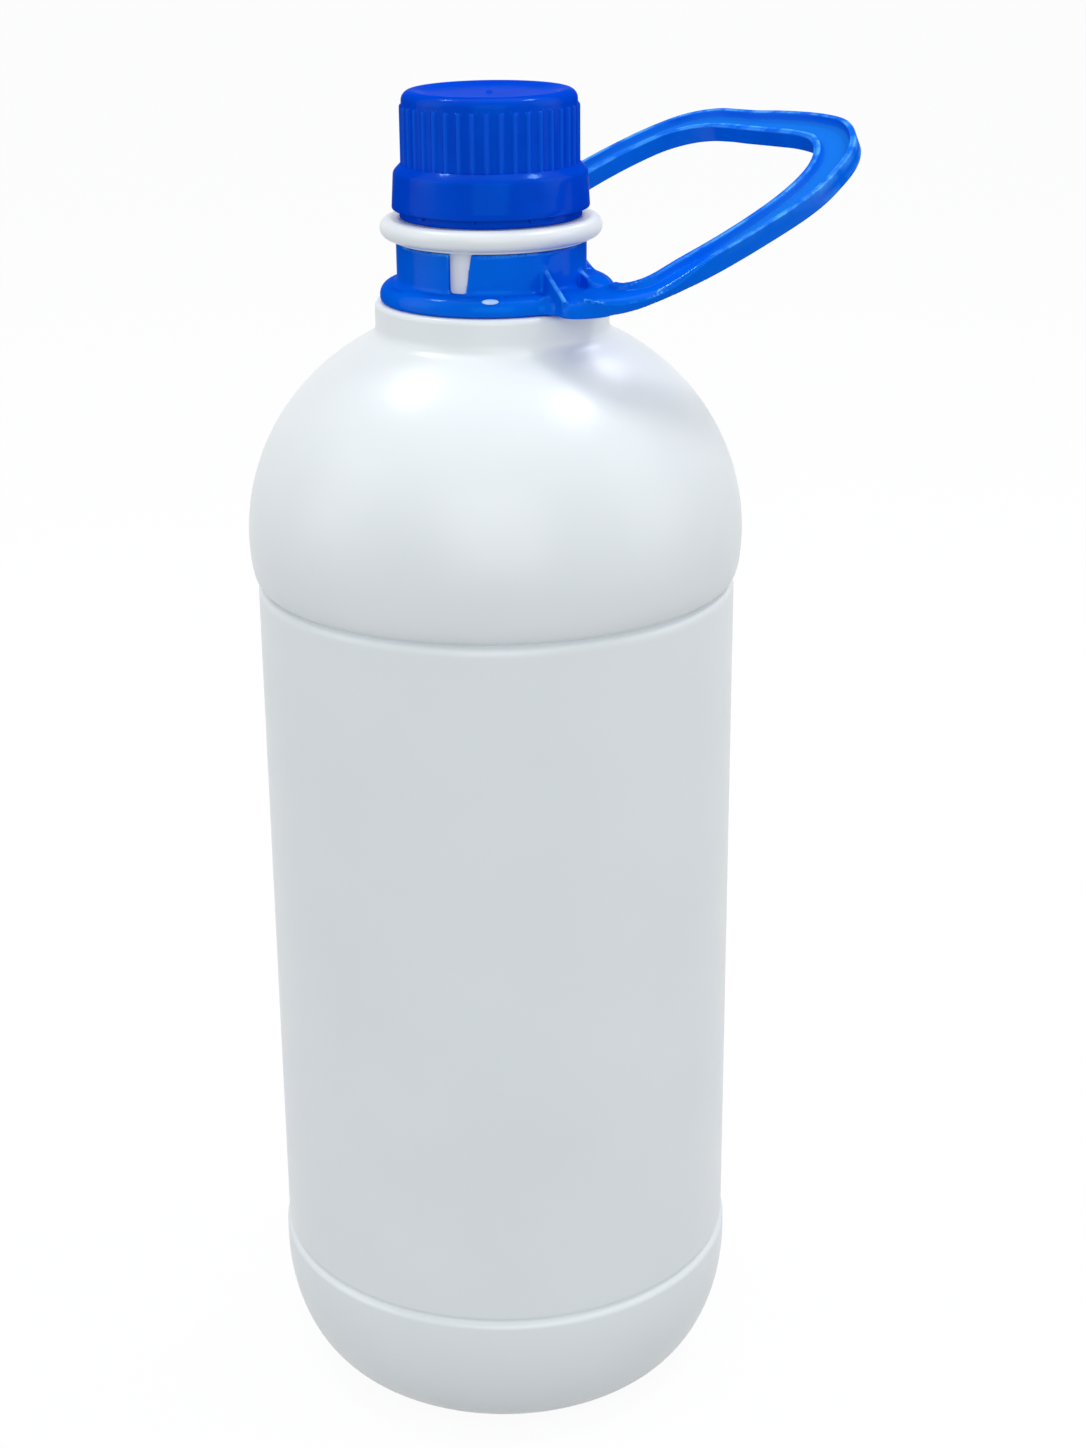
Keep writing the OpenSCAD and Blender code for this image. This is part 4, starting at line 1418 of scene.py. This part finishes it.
# the edge attribute holds the share of painted highlight on edges that bend outwards and look up
painted_highlight_share = edge_highlight_share(handle.data, soft_turn, sharp_turn)
mark_points(handle.data, "edge", painted_highlight_share)
handle.data.materials.clear()
handle.data.materials.append(moulded_pe)
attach(handle, "handle")
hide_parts("handle")
print("handle", len(handle.data.polygons), "faces")

# %% [markdown]
# ### The painted glint
#
# A small pale oval on the flange's front is a painted glint. It is a thin closed oval, sunk into
# the flange's rounded edge, so that it is there from every side and needs no painted mask.

# %% The painted glint


def painted_glint_oval(name, place, normal, along, size):
    """A thin pale oval, a painted glint sunk into a surface; place and size (long, wide, high) are in
    millimetres.
    """
    obj = turned(name, oval((0, 0), 1, 1, -90, 90, 12), 24, "handle")
    up = Vector(normal).normalized()
    side = up.cross(Vector(along)).normalized()
    frame_of_mark = Matrix((side.cross(up), side, up)).transposed().to_4x4()
    obj.data.transform(Matrix.Translation(Vector(place) * MM) @ frame_of_mark
                       @ Matrix.Diagonal((size[0] / 2, size[1] / 2, size[2] / 2, 1)))
    obj.data.materials.append(glint_pe)
    return obj


# where the painted glint sits on the flange's rounded front edge
glint_angle, glint_r, glint_z = math.radians(-116), 24.9, 281.35
glint_size = (3.8, 1.5, 0.5)
glint_x, glint_y = math.cos(glint_angle), math.sin(glint_angle)
glint_spot = painted_glint_oval("painted_glint", (glint_r * glint_x, glint_r * glint_y, glint_z), (0.62 * glint_x, 0.62 * glint_y, 0.78),
            (-glint_y, glint_x, 0), glint_size)
print(glint_spot.name, glint_size, "mm")


# %% [markdown]
# ## Floor, light and camera
#
# The floor is a wide sheet of pale paper. For rays from the camera, and from glossy or clear
# surfaces, it and the sky are almost pure white. So the background is white, while the bottle
# still gets its soft shadow and no more light than a plain studio gives.

# %% White for the rays that look at it


def in_view(tree):
    """One for rays from the camera, from a glossy surface or through a clear one, and else none."""
    path = add(tree, "ShaderNodeLightPath")
    seen = (path, "Is Camera Ray")
    for ray in ("Is Glossy Ray", "Is Transmission Ray"):
        seen = (add(tree, "ShaderNodeMath", {"operation": "MAXIMUM"}, {0: seen, 1: (path, ray)}), 0)
    return seen


def show_white(tree, shader, share):
    """Mixes a share of white glow into a shader, for the rays that look at it."""
    scaled = add(tree, "ShaderNodeMath", {"operation": "MULTIPLY", 1: share}, {0: in_view(tree)})
    white = add(tree, "ShaderNodeEmission" if shader.type != "BACKGROUND" else "ShaderNodeBackground",
                {"Color": (1, 1, 1, 1), "Strength": 1.0})
    return add(tree, "ShaderNodeMixShader", {}, {0: (scaled, 0), 1: (shader, 0), 2: (white, 0)})


# %% The floor
floor_half = 14000
floor = make_object("floor", [(-floor_half, -floor_half, 0), (floor_half, -floor_half, 0),
                              (floor_half, floor_half, 0), (-floor_half, floor_half, 0)],
                    [[0, 1, 2, 3]])
paper, tree, output = new_material("pale_paper")
paper_tone = add(tree, "ShaderNodeMix", {"data_type": "RGBA", 6: linear("#A2A3A4"), 7: (1, 1, 1, 1)},
                 {0: in_view(tree)})
paper_shader = add(tree, "ShaderNodeBsdfDiffuse", {}, {"Color": (paper_tone, 2)})
paper_glow = 0.93
tree.links.new(show_white(tree, paper_shader, paper_glow).outputs[0], output.inputs["Surface"])
floor.data.materials.append(paper)
print("floor", floor_half * 2 * MM, "m square")

# %% The sky
world = bpy.data.worlds.new("studio")
world.use_nodes = True
tree = world.node_tree
tree.nodes.clear()
sky_level = 0.655
sky = add(tree, "ShaderNodeBackground", {"Color": (0.95, 0.98, 1, 1), "Strength": sky_level})
output = tree.nodes.new("ShaderNodeOutputWorld")
tree.links.new(show_white(tree, sky, 1.0).outputs[0], output.inputs["Surface"])
bpy.context.scene.world = world
print("sky level", sky_level)

# %% [markdown]
# ### Lamps
#
# Two small lamps hang high, one to the right and one to the left and a little behind, and give
# the dome its two highlights. A slim one beyond the handle draws a streak beside its shadow. The
# wide panels, one overhead, one by the camera and two at the sides, are soft and even out the rest.

# %% Lamps
LIT_POINT = Vector((0, 0, 0.26))


def lamp(name, azimuth, elevation, distance, width, height, level):
    """A soft panel aimed at the neck; level is the share of plain white light that it gives there."""
    light = bpy.data.lights.new(name, "AREA")
    light.shape = "RECTANGLE"
    light.size, light.size_y = width, height
    light.energy = level * math.pi ** 2 * distance ** 2
    obj = bpy.data.objects.new(name, light)
    a, e = math.radians(azimuth), math.radians(elevation)
    toward = Vector((math.cos(a) * math.cos(e), math.sin(a) * math.cos(e), math.sin(e)))
    obj.location = LIT_POINT + toward * distance
    obj.rotation_euler = toward.to_track_quat("Z", "Y").to_euler()
    bpy.context.collection.objects.link(obj)
    return obj


lamp("lamp_right", -23, 61, 1.0, 0.18, 0.14, 0.20)
lamp("lamp_left", 131, 61, 1.0, 0.17, 0.13, 0.18)
lamp("lamp_streak", 24, 41, 1.0, 0.06, 0.14, 0.07)
lamp("lamp_over", 40, 78, 1.2, 1.1, 1.1, 0.13)
lamp("lamp_front", -115, 17, 1.8, 1.4, 1.4, 0.30)
lamp("lamp_side_right", -35, 20, 1.8, 1.0, 1.4, 0.12)
lamp("lamp_side_left", 165, 20, 1.8, 1.0, 1.4, 0.13)

# %% [markdown]
# ### Camera
#
# The camera stands 25 degrees round from the front, 57 cm away and 39 cm up, and looks down by
# about 20 degrees. Its lens is given as a focal length in pixels of a 1086 by 1448 frame.

# %% Camera
CAMERA_AZIMUTH = -25
camera_reach = 568.7
camera_height = 385.7
camera_pitch = math.radians(20.61)
camera_roll = -0.0145
focal_px = 2456.4
frame_px = (1086, 1448)
axis_px = 498.3
sensor_mm = 36
camera_data = bpy.data.cameras.new("camera")
camera = bpy.data.objects.new("camera", camera_data)
bpy.context.collection.objects.link(camera)
a = math.radians(CAMERA_AZIMUTH)
away = Vector((math.sin(a), -math.cos(a), 0))
level = Vector((math.cos(a), math.sin(a), 0))
camera.location = (away * camera_reach + Vector((0, 0, camera_height))) * MM
forward = -away * math.cos(camera_pitch) - Vector((0, 0, math.sin(camera_pitch)))
up = -away * math.sin(camera_pitch) + Vector((0, 0, math.cos(camera_pitch)))
right = level * math.cos(camera_roll) + up * math.sin(camera_roll)
over = up * math.cos(camera_roll) - level * math.sin(camera_roll)
camera.rotation_euler = Matrix((right, over, -forward)).transposed().to_euler()
camera_data.sensor_width = sensor_mm
camera_data.lens = focal_px * sensor_mm / frame_px[1]
camera_data.shift_x = (frame_px[0] / 2 - axis_px) / frame_px[1]
camera_data.clip_start = 0.05
camera_data.clip_end = 50
bpy.context.scene.camera = camera
bpy.context.scene.view_settings.view_transform = "Standard"
print("lens", round(camera_data.lens, 1), "mm, shift", round(camera_data.shift_x, 4))
